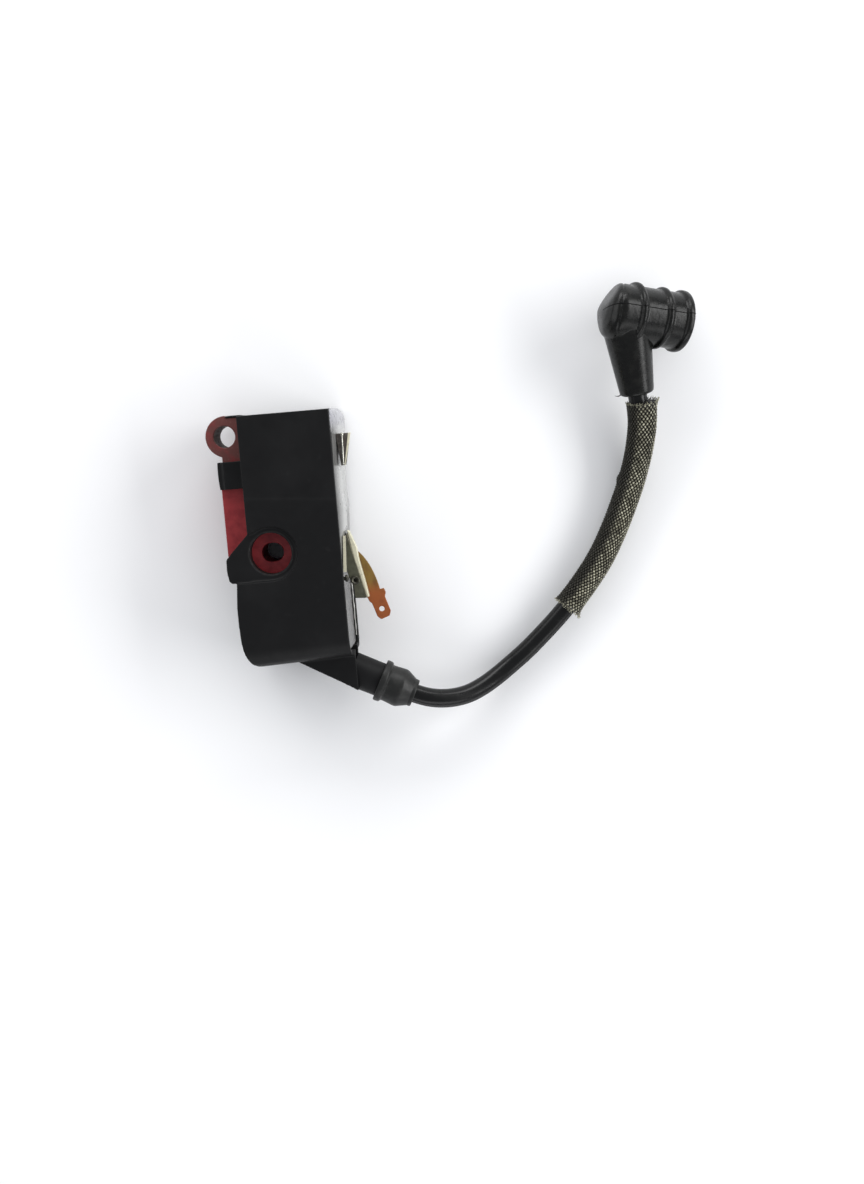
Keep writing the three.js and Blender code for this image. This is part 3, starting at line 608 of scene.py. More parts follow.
def boot_rubber():
    p = Paint("boot_rubber", "boot_rubber", (0.0035, 0.0036, 0.0031), 0.27, specular=0.24)
    p.patches((0.008, 0.008, 0.0068), 0.3, 5, 0.45, 0.72)
    p.blend((0.03, 0.029, 0.024), p.times(p.ramp(p.noise(1.4, 6, roughness=0.7), 0.6, 0.8), 0.35))
    p.rough(p.noise(0.6, 5), 0.19, 0.36)
    p.bump(p.noise(0.8, 4), 0.06)
    p.bump(p.noise(6, 2), 0.008)
    return p.done()


def seam_shade_rubber():
    # painted shade: a little darker than the boot rubber, so that the seam reads as a dark line
    p = Paint("seam_shade_rubber", "boot_rubber", (0.0025, 0.0025, 0.0025), 0.7, specular=0.1)
    p.blend((0.005, 0.005, 0.005), p.noise(2, 3))
    return p.done()


def cap_rubber():
    p = Paint("cap_rubber", "cap_rubber", (0.0095, 0.0097, 0.009), 0.4, specular=0.3)
    p.patches((0.019, 0.019, 0.0176), 0.5, 5, 0.45, 0.75)
    p.rough(p.noise(0.9, 4), 0.32, 0.55)
    p.bump(p.noise(1.2, 4), 0.04)
    return p.done()


def lead_jacket():
    p = Paint("lead_jacket", "lead_jacket", (0.0042, 0.0042, 0.004), 0.26, specular=0.26)
    p.patches((0.009, 0.009, 0.0086), 0.35, 4, 0.5, 0.78)
    p.rough(p.noise(0.5, 2), 0.22, 0.3)
    p.bump(p.noise(1.5, 3), 0.004)
    return p.done()


def braid_yarn():
    """Varnished glass yarn, with painted highlight where it rides over, painted shade where it dips under, and
    painted shade on the inner side of the bend.
    """
    p = Paint("glass_braid", "glass_braid", (0.014, 0.012, 0.008), 0.42, specular=0.3)
    # painted light: tone runs from painted shade where a yarn dips under to painted highlight where it rides over
    p.blend((0.11, 0.103, 0.07), p.ramp(p.attribute("tone"), 0.35, 0.65))
    p.blend((0.5, 0.485, 0.37), p.ramp(p.attribute("tone"), 0.66, 0.98))
    p.patches((0.035, 0.032, 0.021), 0.7, 5, 0.46, 0.66, 0.8)
    # painted shade on the sleeve's inner side of the bend, its left side
    p.blend((0.012, 0.011, 0.008), p.times(p.ramp(p.attribute("soil"), 0.46, 0.68), 0.9))
    p.bump(p.noise(9, 2, (1, 1, 0.2)), 0.03)
    return p.done()


def wound_wire():
    p = Paint("winding_wire", "winding_wire", (0.36, 0.115, 0.035), 0.3, 0.85)
    p.patches((0.2, 0.06, 0.02), 0.6, 4, 0.4, 0.7)
    p.bump(p.bands(6.0, "Y"), 0.05)
    return p.done()


PAINT = {
    "tub": tub_plastic(),
    "resin": resin_paint(),
    "lacquer": core_lacquer(),
    "bore": eye_bore(),
    "slot": slot_wall_shade(),
    "sheen_rim": painted_sheen_rim(),
    "lug": lug_plate(),
    "seam": seam_shade_rubber(),
    "olive": olive_plate(),
    "edge": highlight_edge(),
    # painted highlight: the bright colour of the resin bead at the sunk end
    "bead": plain_paint("resin_bead_highlight", "potting_resin", (0.62, 0.62, 0.58), (0.4, 0.4, 0.38), 0.2, coat=0.3),
    # painted light: a lighter copy of the olive plating, a dimmer highlight on the bracket's fold
    "dim_highlight_edge": plain_paint("dim_highlight_edge", "olive_plate", (0.2, 0.19, 0.13), (0.13, 0.12, 0.085), 0.42, 0.3),
    "terminal": terminal_brass(),
    "boot": boot_rubber(),
    "cap": cap_rubber(),
    "lead": lead_jacket(),
    "braid": braid_yarn(),
    "wire": wound_wire(),
    # painted shade: the dark tube under the braid, seen in the gaps between the yarns
    "liner": plain_paint("sleeve_shade_tube", "glass_braid", (0.011, 0.01, 0.008), (0.006, 0.0055, 0.004), 0.6),
    # painted shade: a near-black copy of the plated metal, for the eyelet and the bracket pin
    "shaded_plating": plain_paint(
        "shaded_plating", "plated_metal", (0.02, 0.019, 0.015), (0.09, 0.085, 0.06), 0.4, 0.5, 3.0, 0.01
    ),
    "plated": plain_paint(
        "plated_metal", "plated_metal", (0.72, 0.71, 0.64), (0.42, 0.41, 0.36), 0.22, 1.0, 2.0, 0.01
    ),
    "steel": plain_paint(
        "bare_lamination", "bare_lamination", (0.3, 0.3, 0.31), (0.18, 0.18, 0.19), 0.4, 0.9
    ),
    "bobbin": plain_paint("bobbin_plastic", "bobbin_plastic", (0.62, 0.57, 0.44), (0.5, 0.44, 0.32), 0.5),
    "board": plain_paint(
        "board_laminate", "board_laminate", (0.02, 0.1, 0.04), (0.012, 0.06, 0.025), 0.4, coat=0.3
    ),
    "capacitor": plain_paint(
        "capacitor_shell", "capacitor_shell", (0.45, 0.13, 0.03), (0.33, 0.08, 0.02), 0.3, coat=0.3
    ),
    "component": plain_paint(
        "component_shell", "component_shell", (0.02, 0.02, 0.022), (0.035, 0.035, 0.036), 0.5
    ),
    "resistor": plain_paint("resistor_shell", "resistor_shell", (0.5, 0.4, 0.26), (0.36, 0.27, 0.17), 0.4),
}

# ------------ camera


def make_camera():
    """Straight above the piece, a little off its centre and hardly tilted."""
    data = bpy.data.cameras.new("camera")
    data.sensor_width = 36
    data.lens = 45.06
    camera = linked("camera", data)
    right = (0.99621, -0.08320, -0.02548)
    up = (0.07998, 0.99086, -0.10863)
    back = (0.03429, 0.10618, 0.99376)
    turn = Matrix((right, up, back)).transposed()
    spot = Vector(tub(62.0, -8.94, 424.0) * MM)
    camera.matrix_world = Matrix.LocRotScale(spot, turn.to_quaternion(), None)
    bpy.context.scene.camera = camera


# ------------ HT lead and what is on it


def ht_lead():
    """A smooth jacket with the fine ridge that its mould leaves along the outer side of the bend."""
    line, right, up = lead_line(0, 1, 260)
    ridge_at = math.radians(24)
    ridge_width = 0.05
    turns = set(np.linspace(0, 2 * math.pi, 40, endpoint=False))
    turns |= {ridge_at + k * ridge_width * 0.6 for k in range(-3, 4)}
    turns = np.array(sorted(turns))
    radius = LEAD_RADIUS - 0.04 + 0.13 * np.exp(-(((turns - ridge_at) / ridge_width) ** 2))
    section = list(zip(radius * np.cos(turns), radius * np.sin(turns)))
    part = swept(line, right, up, lambda i: section)
    return make("ht_lead_jacket", part, "lead", stands_for=["ht_lead"]), line


SLEEVE_FROM = 0.488
SLEEVE_TO = 0.884
CARRIERS = 24
BRAID_TURNS = 1.85


def sleeve_radius(share, turn):
    """The sleeve's outer skin: a crease along its top, one knuckle, and ends that gape to the right."""
    crease = -0.22 * np.exp(-(((turn - 1.72) / 0.16) ** 2))
    flat = -0.16 * np.exp(-(((turn - 2.6) / 0.5) ** 2))
    knuckle = 0.5 * np.exp(-(((share - 0.64) / 0.02) ** 2) - ((turn - 2.9) / 0.7) ** 2)
    upper = np.clip((share - 0.55) / 0.45, 0, 1)
    slack = upper * (0.05 + 0.95 * np.cos(turn))
    low_end = np.exp(-share / 0.016) * (0.62 + 0.42 * np.cos(turn))
    high_end = np.exp(-(1 - share) / 0.02) * (0.6 + 0.35 * np.cos(turn))
    skin = SLEEVE_RADIUS - 0.22 + crease + flat + knuckle + slack + low_end + high_end
    return np.maximum(skin, LEAD_RADIUS + 0.55)


def above_surface(points, lowest=0.15):
    """Nothing on the lead dips into the surface that it lies on."""
    points[:, 2] = np.maximum(points[:, 2], lowest)
    return points


def yarn_piece(name, parts, stands_for=(), **layers):
    """A piece of yarns, each of whose points carries the numbers that its paint reads."""
    points, faces = merged(parts)
    mesh = raw_mesh(name, (above_surface(points), faces))
    for layer_name, values in layers.items():
        layer = mesh.attributes.new(layer_name, "FLOAT", "POINT")
        layer.data.foreach_set("value", np.array(values, np.float32))
    return place(name, mesh, "braid", sharp=180, stands_for=stands_for)


def braided_sleeve():
    """Two families of flat yarns that run round the lead in opposite ways, over and under."""
    count = 520
    line, right, up = lead_line(SLEEVE_FROM, SLEEVE_TO, count)
    share = np.linspace(0, 1, count)
    rng = random.Random(7)
    sides = 4
    width, thickness, wave = 0.25, 0.12, 0.2
    spread = 2 * math.pi / CARRIERS
    parts, tones, soils = [], [], []
    for way in (1, -1):
        for carrier in range(CARRIERS):
            turn = carrier * spread + way * 2 * math.pi * BRAID_TURNS * share
            other = (turn + way * 2 * math.pi * BRAID_TURNS * share) / spread
            lift = way * wave * np.cos(math.pi * (other + carrier))
            radius = sleeve_radius(share, np.mod(turn, 2 * math.pi)) + lift
            out = np.cos(turn)[:, None] * right + np.sin(turn)[:, None] * up
            path = line + radius[:, None] * out
            across = np.cross(out, unit(np.gradient(path, axis=0)))
            own_width = width * rng.uniform(0.8, 1.1)
            section = oval(own_width, thickness, sides)
            part = swept(path, across, out, lambda i, s=section: s)
            parts.append(part)
            # painted light: over-crossings get a high tone for painted highlight, under-crossings a low tone for
            # painted shade, with a little random spread
            over = 0.5 + 0.5 * lift / wave
            own_tone = rng.uniform(0, 0.2) + 0.8 * over
            tones.extend([*np.repeat(own_tone, sides), own_tone[0], own_tone[-1]])
            # painted shade, deepest on the inner side of the bend
            soil = 0.5 - 0.5 * np.cos(turn - 0.1)
            soils.extend([*np.repeat(soil, sides), soil[0], soil[-1]])
    return yarn_piece("braided_sleeve_yarns", parts, ["braided_sleeve"], tone=tones, soil=soils)


def sleeve_shade_tube():
    """An inner tube under the yarns, dark for the black lead and the painted shade seen in the gaps between them.
    """
    line, right, up = lead_line(SLEEVE_FROM + 0.003, SLEEVE_TO - 0.003, 130)
    turns = np.linspace(0, 2 * math.pi, 32, endpoint=False)
    shares = np.linspace(0, 1, len(line))
    inner_radius = LEAD_RADIUS + 0.25

    def outer(i):
        radius = sleeve_radius(shares[i], turns) - 0.24
        return list(zip(radius * np.cos(turns), radius * np.sin(turns)))

    def inner(i):
        return list(zip(inner_radius * np.cos(turns), inner_radius * np.sin(turns)))

    outside = swept(line, right, up, outer, closed_ends=False)
    inside = swept(line, right, up, inner, closed_ends=False)
    points, faces = merged([outside, inside])
    points = above_surface(points)
    sides, size = len(turns), len(outside[0])
    for start in (0, size - sides):
        ring = list(range(start, start + sides))
        faces.extend(bridge(ring, [k + size for k in ring]))
    return make("sleeve_shade_tube", (points, faces), "liner")


def frayed_ends():
    """Loose filaments at the sleeve's two cut ends."""
    rng = random.Random(11)
    parts = []
    line, right, up = lead_line(SLEEVE_FROM, SLEEVE_TO, 200)
    for row, step, share in ((1, -1, 0.0), (len(line) - 2, 1, 1.0)):
        along = unit(line[row + step] - line[row])
        for _ in range(130):
            turn = rng.uniform(0, 2 * math.pi)
            out = math.cos(turn) * right[row] + math.sin(turn) * up[row]
            side = np.cross(along, out)
            start = line[row] + out * (sleeve_radius(share, turn) + rng.uniform(-0.2, 0.1))
            length = rng.uniform(0.3, 0.95)
            bend = rng.uniform(-0.1, 0.55)
            sway = rng.uniform(-0.5, 0.5)
            path = np.array([
                start + along * length * t + out * bend * t * t + side * sway * t * t
                for t in (0, 0.35, 0.7, 1)
            ])
            section = [(0.07 * math.cos(a), 0.07 * math.sin(a)) for a in (0, 2.1, 4.2)]
            frames = ([out] * 4, [side] * 4)
            parts.append(swept(path, *frames, lambda i, s=section: s))
    point_count = sum(len(part[0]) for part in parts)
    return yarn_piece("frayed_ends", parts, tone=np.full(point_count, 0.9))


# ------------ plug boot

BARREL = [
    (0, -7.0), (3.0, -6.85), (5.2, -6.3), (6.7, -5.3), (7.5, -4.1), (7.7, -3.0),
    (7.7, 1.1), (7.8, 1.3), (8.45, 1.45), (8.65, 1.8), (8.65, 2.4), (8.4, 2.75), (7.8, 2.95), (7.7, 3.2),
    (7.7, 9.2), (7.8, 9.4), (8.3, 9.55), (8.5, 9.95), (8.5, 10.55), (8.3, 10.9), (7.8, 11.1), (7.7, 11.3),
    (7.7, 15.1), (7.8, 15.3), (8.3, 15.45), (8.5, 15.8), (8.5, 16.9), (8.3, 17.25), (8.0, 17.4),
    (6.2, 17.4), (5.9, 17.1),
]
SOCKET = [(0, -4.2), (4.0, -4.2), (4.8, -3.9), (5.0, -3.3), (5.0, 14.6), (5.9, 16.0), (5.9, 20), (0, 20)]
LEG = [(0, -1.5), (5.8, -1.2), (6.85, 1.0), (6.85, 2.2), (4.75, 21.8), (4.6, 22.2), (4.2, 22.45), (0, 22.45)]


def carved(name, steps, voxel, smoothing):
    """Solids joined or cut in turn, then wrapped in one even skin whose corners are soft."""
    body = linked(name, clean_mesh(name, steps[0][1]))
    helpers = []
    for operation, part in steps[1:]:
        helper = linked("helper", clean_mesh("helper", part))
        helpers.append(helper)
        modifier = body.modifiers.new("cut", "BOOLEAN")
        modifier.operation = operation
        modifier.object = helper
        modifier.solver = "EXACT"
    mesh = soft_skin(body, voxel, smoothing)
    for helper in [*helpers, body]:
        bpy.data.objects.remove(helper)
    return mesh


def soft_skin(obj, voxel, smoothing):
    """The object's mesh after its modifiers, remeshed at an even size and smoothed."""
    remesh = obj.modifiers.new("skin", "REMESH")
    remesh.mode = "VOXEL"
    remesh.voxel_size = voxel * MM
    smooth = obj.modifiers.new("smooth", "SMOOTH")
    smooth.factor = 0.5
    smooth.iterations = smoothing
    graph = bpy.context.evaluated_depsgraph_get()
    return bpy.data.meshes.new_from_object(obj.evaluated_get(graph))


def plug_boot():
    """One soft rubber elbow: a ribbed barrel with a blunt back, and a tapered leg for the lead."""
    barrel = lathe(rounded([*BARREL, (0, 17.1)], 0.3, 2), ELBOW, BARREL_AXIS, 96)
    leg = lathe(rounded(LEG, 0.4, 2), ELBOW, LEG_AXIS, 72)
    socket = lathe(SOCKET, ELBOW, BARREL_AXIS, 64)
    bore = lathe([(0, 1), (LEAD_RADIUS + 0.35, 1), (LEAD_RADIUS + 0.35, 26), (0, 26)], ELBOW, LEG_AXIS, 48)
    steps = [("", barrel), ("UNION", leg), ("DIFFERENCE", socket), ("DIFFERENCE", bore)]
    mesh = carved("plug_boot_skin", steps, voxel=0.24, smoothing=3)
    reshape(mesh, blunt_back)
    return place("plug_boot_skin", mesh, "boot", "boot", sharp=75, stands_for=["plug_boot"])


def reshape(mesh, move):
    """Moves a mesh's points, given and returned as rows of millimetres."""
    co = np.empty(len(mesh.vertices) * 3, np.float32)
    mesh.vertices.foreach_get("co", co)
    points = move(co.reshape(-1, 3).astype(float) / MM) * MM
    mesh.vertices.foreach_set("co", points.astype(np.float32).ravel())
    mesh.update()


SEAM_TURN = -14
CREASE_POINT = np.array([89.3, 64.0, 14.0])
CREASE_NORMAL = unit((0.975, -0.223, 0.0))
FLATS = [
    ((86.0, 66.3, 12.0), unit((-0.788, 0.616, 0.16)), 0.55),
    ((83.25, 58.0, 12.0), unit((-1.0, 0.0, 0.1)), 0.3),
]


def blunt_back(points):
    """The upper back of the barrel is flattened, and a shallow crease sets it off."""
    seen = points - ELBOW
    station = seen @ BARREL_AXIS
    outward = seen - np.outer(station, BARREL_AXIS)
    reach = np.linalg.norm(outward, axis=1)
    outer = np.clip((reach - 5.6) / 0.6, 0, 1) * (seen @ LEG_AXIS < 5.5)
    crease = np.exp(-((((points - CREASE_POINT) @ CREASE_NORMAL) / 0.22) ** 2)) * outer * 0.26
    points = points - outward / np.maximum(reach, 1e-6)[:, None] * crease[:, None]
    for point, normal, softness in FLATS:
        proud = (points - point) @ normal
        flatten = softness * np.logaddexp(0, proud / softness) * (station < 0)
        points = points - np.outer(flatten, normal)
    return points


def boot_parting_line():
    """The thin seam that the two halves of the mould leave over the back and along the barrel."""
    first, second = basis(BARREL_AXIS, (0, 0, 1))
    turn = math.radians(SEAM_TURN)
    out = math.cos(turn) * first + math.sin(turn) * second
    side = np.cross(BARREL_AXIS, out)
    profile = rounded(BARREL[:28], 0.3, 3)
    path = [ELBOW + BARREL_AXIS * (s - 0.04 * (s < -4)) + out * (r + 0.01) for r, s in profile]
    path = blunt_back(np.array(path))
    section = oval(0.13, 0.09, 6)
    part = swept(path, [side] * len(path), [out] * len(path), lambda i: section)
    # the seam takes the darker painted-shade rubber
    return make("boot_parting_line", part, "seam", "boot", sharp=180)


def boot_flash_tag():
    """A sliver of rubber flash that was never trimmed off the end of the leg."""
    first = basis(LEG_AXIS, (0, 0, 1))[0]
    out = unit(-np.cross(LEG_AXIS, (0, 0, 1)))
    if out[0] > 0:
        out = -out
    start = leg_point(LEG_LENGTH - 0.5) + out * 4.3
    path = np.array([start + out * t + LEG_AXIS * 0.35 * math.sin(t * 1.6) for t in np.linspace(0, 1.9, 8)])
    thin = np.linspace(0.22, 0.05, 8)
    points, faces = swept(
        path, [LEG_AXIS] * 8, [first] * 8,
        lambda i: [(thin[i], 0), (0, thin[i]), (-thin[i], 0), (0, -thin[i])],
    )
    return make("boot_flash_tag", (points, faces), "boot", "boot", sharp=180)


# ------------ tub


def housing():
    """The CAD tub wrapped in an even skin with moulded corners, then drawn a little out of true."""
    source = linked("tub_source", NODES["housing"].data.copy())
    mesh = soft_skin(source, voxel=0.3, smoothing=3)
    bpy.data.objects.remove(source)
    reshape(mesh, moulded_tub)
    place("tub_shell", mesh, "tub", sharp=75, stands_for=["housing"])


def moulded_tub(points):
    """A shallow step crosses the front, and the lower end sags towards its left corner."""
    local = points - ORIGIN
    x, y, z = local.T
    step_at, step_depth, step_width = -23.3, 0.2, 0.2
    above = 1 / (1 + np.exp(-(y - step_at - 0.08 * (12 - x)) / step_width))
    local[:, 2] = z - np.where(z > TUB_DEPTH - 0.6, step_depth * above, 0)
    low = np.clip((-58 - y) / 9, 0, 1) ** 2
    local[:, 1] = y - low * np.interp(x, [-5, -1, 13, 22], [1.0, 1.1, 0.5, 0])
    lower_left = np.clip((-46 - y) / 6, 0, 1) * np.clip((2 - x) / 4, 0, 1)
    strap = np.where((x < -6.8) & (y > -20) & (y < -11.8), 1 - ((y + 15.2) / 4.5) ** 2, 0)
    local[:, 0] = x - 0.5 * lower_left - 0.28 * np.clip(strap, 0, 1)
    return local + ORIGIN


def counterbore_edge():
    """The rounded edge of the slot's counterbore, in a lighter copy of the tub plastic as painted sheen."""
    top = TUB_DEPTH - 1.2
    curve = [(SINK_RADIUS + 0.42 - 0.46 * math.cos(a), top - 0.42 + 0.46 * math.sin(a))
             for a in np.radians([0, 18, 36, 54, 72, 90])]
    rim, foot = SINK_RADIUS + 0.9, top - 1.2
    profile = [*curve, (rim, top - 0.1), (rim, foot), (SINK_RADIUS - 0.04, foot)]
    # the edge takes the lighter painted-sheen copy of the tub plastic
    make("counterbore_edge", turned_ring(profile, tub(*SLOT, 0), (0, 0, 1), 96, (1, 0, 0)), "sheen_rim")


# ------------ core


def sheets(loops, count=24, groove=0.05, edge=0.16):
    """A stack of thin stampings between the core's two faces, under one coat of lacquer."""
    pitch = (CORE_HIGH - CORE_LOW) / count
    levels = [(CORE_LOW, edge), (CORE_LOW + edge, 0)]
    for i in range(1, count):
        z = CORE_LOW + i * pitch
        levels += [(z - 0.08, 0), (z, groove), (z + 0.08, 0)]
    levels += [(CORE_HIGH - edge, 0), (CORE_HIGH, edge)]
    return stack(loops, levels)


def upper_core():
    cx, cy = EYE_RIM
    down = math.degrees(math.acos((-6.3 - cx) / EYE_RIM_RADIUS))
    up = math.degrees(math.acos((-4.7 - cx) / EYE_RIM_RADIUS))
    ring = arc(EYE_RIM, EYE_RIM_RADIUS, up, 360 - down, 40)
    neck = [
        (-6.3, -15.8), (-0.9, -15.8), (-0.9, -8.7), (15.3, -8.7), (15.3, -2.1), (-0.9, -2.1), (-0.9, -0.2),
    ]
    outer = [*ring, *neck, (-4.4, -0.2)]
    hole = arc(EYE_HOLE, EYE_HOLE_RADIUS, 0, 360, 48)[:-1]
    part = in_tub(sheets([outer, hole]))
    obj = make("upper_core_sheets", part, "lacquer", stands_for=["upper_core_stack"])
    paint_faces(obj, PAINT["bore"], tub(*EYE_HOLE, 0), EYE_HOLE_RADIUS + 0.1)


def lower_core():
    cx, cy = SLOT
    right = arc((cx + 0.45, cy), 2.6, -90, 90, 16)
    left = arc((cx - 0.45, cy), 2.6, 90, 270, 16)
    outer = [
        (-7.25, -16.6), (-7.25, -38.3), (-4.4, -41.2), (-4.4, -44.2), (15.3, -44.2), (15.3, -31.9),
        (-0.9, -31.9), (-0.9, -16.6),
    ]
    part = in_tub(sheets([outer, [*right, *left]]))
    obj = make("lower_core_sheets", part, "lacquer", stands_for=["lower_core_stack"])
    # painted shade: the slot's inner walls take the near-black colour
    paint_faces(obj, PAINT["slot"], tub(*SLOT, 0), 3.2)


def paint_faces(obj, material, centre, radius):
    """Gives the faces within a radius of an upright axis another material."""
    obj.data.materials.append(material)
    for face in obj.data.polygons:
        away = math.hypot(face.center.x / MM - centre[0], face.center.y / MM - centre[1])
        if away < radius and abs(face.normal.z) < 0.5:
            face.material_index = 1


# ------------ resin face


RESIN_BACK = 22.9


def resin_face():
    """The poured face: swollen over the rim at the upper end, sunk below it at the lower end."""
    stations = [
        # distance down the tub, height in the middle, at the front rim and at the back rim
        (0.15, 24.9, 24.3, 25.0), (-0.5, 25.9, 24.5, 25.9), (-1.5, 26.5, 24.7, 26.3), (-3, 26.7, 24.8, 26.5),
        (-8, 26.4, 24.7, 26.2), (-14, 25.9, 24.5, 25.8), (-22, 25.8, 24.4, 25.6), (-27, 26.1, 24.4, 25.7),
        (-33, 25.8, 24.3, 25.4), (-38, 25.0, 24.2, 25.0), (-43, 24.5, 23.9, 24.7), (-48, 24.3, 23.8, 24.5),
        (-58, 24.3, 23.8, 24.4), (-66.2, 24.4, 24.0, 24.4),
    ]
    table = np.array(stations)[::-1]
    ys = np.linspace(table[-1, 0], table[0, 0], 170)
    zs = np.linspace(1.7, TUB_DEPTH - 1.7, 44)
    kernel = np.hanning(7) / np.hanning(7).sum()
    heights = (np.interp(ys, table[:, 0], table[:, k]) for k in (1, 2, 3))
    middle, front, back = (np.convolve(np.pad(h, 3, "edge"), kernel, "valid") for h in heights)
    rng = np.random.default_rng(5)
    ripple = rng.normal(0, 1, (len(ys), len(zs)))
    for _ in range(6):
        ripple = (ripple + np.roll(ripple, 1, 0) + np.roll(ripple, -1, 0)) / 3
        ripple = (ripple + np.roll(ripple, 1, 1) + np.roll(ripple, -1, 1)) / 3
    share = (zs - zs[0]) / (zs[-1] - zs[0])
    crown = (1 - np.abs(2 * share - 1) ** 3) ** 0.7
    points, faces = [], []
    for i, y in enumerate(ys):
        border = back[i] + (front[i] - back[i]) * share
        grain = 0.14 * np.clip((-y - 46) / 8, 0, 1)
        x = border + (middle[i] - (front[i] + back[i]) / 2) * crown + grain * ripple[i] * crown
        points.extend([tub(a, y, z) for a, z in zip(x, zs)])
    size, wide = len(points), len(zs)
    for y in ys:
        points.extend([tub(RESIN_BACK, min(y, -1.7), z) for z in zs])
    for layer in (0, size):
        for i in range(len(ys) - 1):
            for j in range(wide - 1):
                a = layer + i * wide + j
                faces.append((a, a + 1, a + wide + 1, a + wide))
    rim = list(range(wide))
    rim += [i * wide + wide - 1 for i in range(1, len(ys))]
    rim += [(len(ys) - 1) * wide + j for j in range(wide - 2, -1, -1)]
    rim += [i * wide for i in range(len(ys) - 2, 0, -1)]
    faces.extend(bridge(rim, [k + size for k in rim]))
    make("resin_face", (points, faces), "resin", sharp=60, stands_for=["potting_resin"])


def resin_meniscus():
    """The bead where the resin has crept up the back wall at the sunk end, painted bright as a highlight."""
    ys = np.linspace(-64.5, -49.5, 40)
    xs = 24.8 + 0.04 * np.sin(ys * 1.3)
    zs = 2.6 + 0.15 * np.sin(ys * 0.7)
    path = np.array([tub(x, y, z) for x, y, z in zip(xs, ys, zs)])
    thick = 0.15 + 0.04 * np.sin(ys * 2.1)
    points, faces = swept(
        path, np.tile((1.0, 0, 0), (40, 1)), np.tile((0, 0, 1.0), (40, 1)),
        lambda i: oval(thick[i], 2 * thick[i], 8),
    )
    make("resin_meniscus", (points, faces), "bead", sharp=180)


# ------------ outlet


def outlet_snout():
    profile = rounded([(3.2, -2.0), (4.85, -2.0), (4.75, 8.9), (3.2, 8.9)], 0.25)
    part = turned_ring(profile, OUTLET, OUTLET_AXIS, 80)
    make("outlet_snout_tube", part, "tub", stands_for=["outlet_snout"])


def outlet_cap():
    """A rubber cap with a rolled flange, a swelling skirt, a cone and a thick lip round the lead."""
    profile = rounded(
        [
            (5.3, 6.4), (5.85, 6.45), (5.98, 6.7), (5.98, 7.5), (5.88, 8.2), (5.35, 8.5), (5.22, 8.8),
            (5.35, 10.5), (5.5, 12.2), (5.45, 13.0), (5.0, 13.9), (4.15, 15.6), (3.95, 15.9), (3.98, 16.2),
            (3.95, 16.8), (3.7, 17.0), (3.0, 17.0), (2.85, 16.6), (2.85, 12.0), (5.15, 10.0), (5.15, 6.6),
        ],
        0.25,
    )
    part = turned_ring(profile, OUTLET, OUTLET_AXIS, 96)
    make("outlet_cap_skin", part, "cap", sharp=50, stands_for=["outlet_cap"])


# ------------ metal parts
SHEET = 0.6
CHEEK_TOP = 16.2
EYELET = (27.05, -47.5)


def earth_bracket():
    """The bracket's cheek: thin sheet in front of the resin, with a hole for the eyelet."""
    hole = arc(EYELET, 1.0, 0, 360, 24)[:-1]
    cheek = rounded_loop(
        [(25.45, -34.8), (24.95, -45.0), (25.35, -46.6), (26.4, -49.3), (26.6, -52.5), (29.6, -52.7),
         (28.4, -47.1), (27.2, -41.9)], 0.3,
    )
    part = in_tub(plate([cheek, hole], CHEEK_TOP - SHEET, CHEEK_TOP))
    make("bracket_cheek", part, "olive", stands_for=["earth_bracket"])


def bracket_web():
    """The wall down the cheek's slanted edge, the flange along the resin and the two cast-in prongs."""
    outer_wall = rounded_loop(
        [(25.9, -33.6), (27.35, -41.9), (28.65, -47.1), (29.95, -52.5), (30.45, -52.4), (29.5, -47.1),
         (28.45, -41.9), (28.1, -38.4), (26.5, -33.9)], 0.15, 2,
    )
    inner_wall = rounded_loop(
        [(25.5, -34.6), (27.1, -41.9), (28.4, -47.1), (29.65, -52.7), (29.95, -52.6), (28.65, -47.1),
         (27.4, -41.9), (25.9, -34.4)], 0.1, 2,
    )
    flange = rounded_loop([(25.15, -34.8), (25.65, -34.8), (25.1, -44.6), (24.45, -44.5)], 0.12, 2)
    prongs = [
        plate([[(20.5, low), (25.2, low), (25.2, low + 2.4), (20.5, low + 2.4)]], 18.2, 18.2 + SHEET)
        for low in (-43.0, -39.0)
    ]
    part = in_tub(merged([plate([inner_wall], 12.9, CHEEK_TOP + 0.05), *prongs]))
    # painted light: the fold wall, and the prongs with it, take the dimmer highlight colour
    make("bracket_fold", part, "dim_highlight_edge")
    # painted shade: the flange's body takes the darker lug plating for its shaded sides
    make("bracket_flange", in_tub(plate([flange], CHEEK_TOP - SHEET, 20.1)), "lug")
    # painted highlight: the outer wall and the flange's top cap take the bright edge colour
    web = [plate([outer_wall], 12.9, CHEEK_TOP - 0.15), plate([flange], 20.08, 20.25)]
    make("bracket_web", in_tub(merged(web)), "edge")


def bracket_eyelet():
    low = CHEEK_TOP - 1.6
    profile = rounded(
        [(0, low), (0.78, low), (0.8, CHEEK_TOP + 0.05), (1.2, CHEEK_TOP + 0.1), (1.25, CHEEK_TOP + 0.35),
         (0.95, CHEEK_TOP + 0.5), (0.5, CHEEK_TOP + 0.15), (0.45, low + 0.3), (0, low + 0.3)], 0.12,
    )
    part = lathe(profile, tub(*EYELET, 0), (0, 0, 1), 40, (1, 0, 0))
    # painted shade: the eyelet takes the near-black copy of the plating, for the shade round its hole
    make("bracket_eyelet_ring", part, "shaded_plating", stands_for=["bracket_eyelet"])


def bracket_pin():
    profile = rounded([(0, 21), (0.5, 21), (0.5, 24.5), (0.95, 24.6), (0.95, 25.2), (0, 25.6)], 0.2)
    part = lathe(profile, tub(0, -46.6, 18.9), (1, 0, 0), 28)
    # painted shade: the pin takes the same near-black copy of the plating
    make("bracket_pin_body", part, "shaded_plating", stands_for=["bracket_pin"])


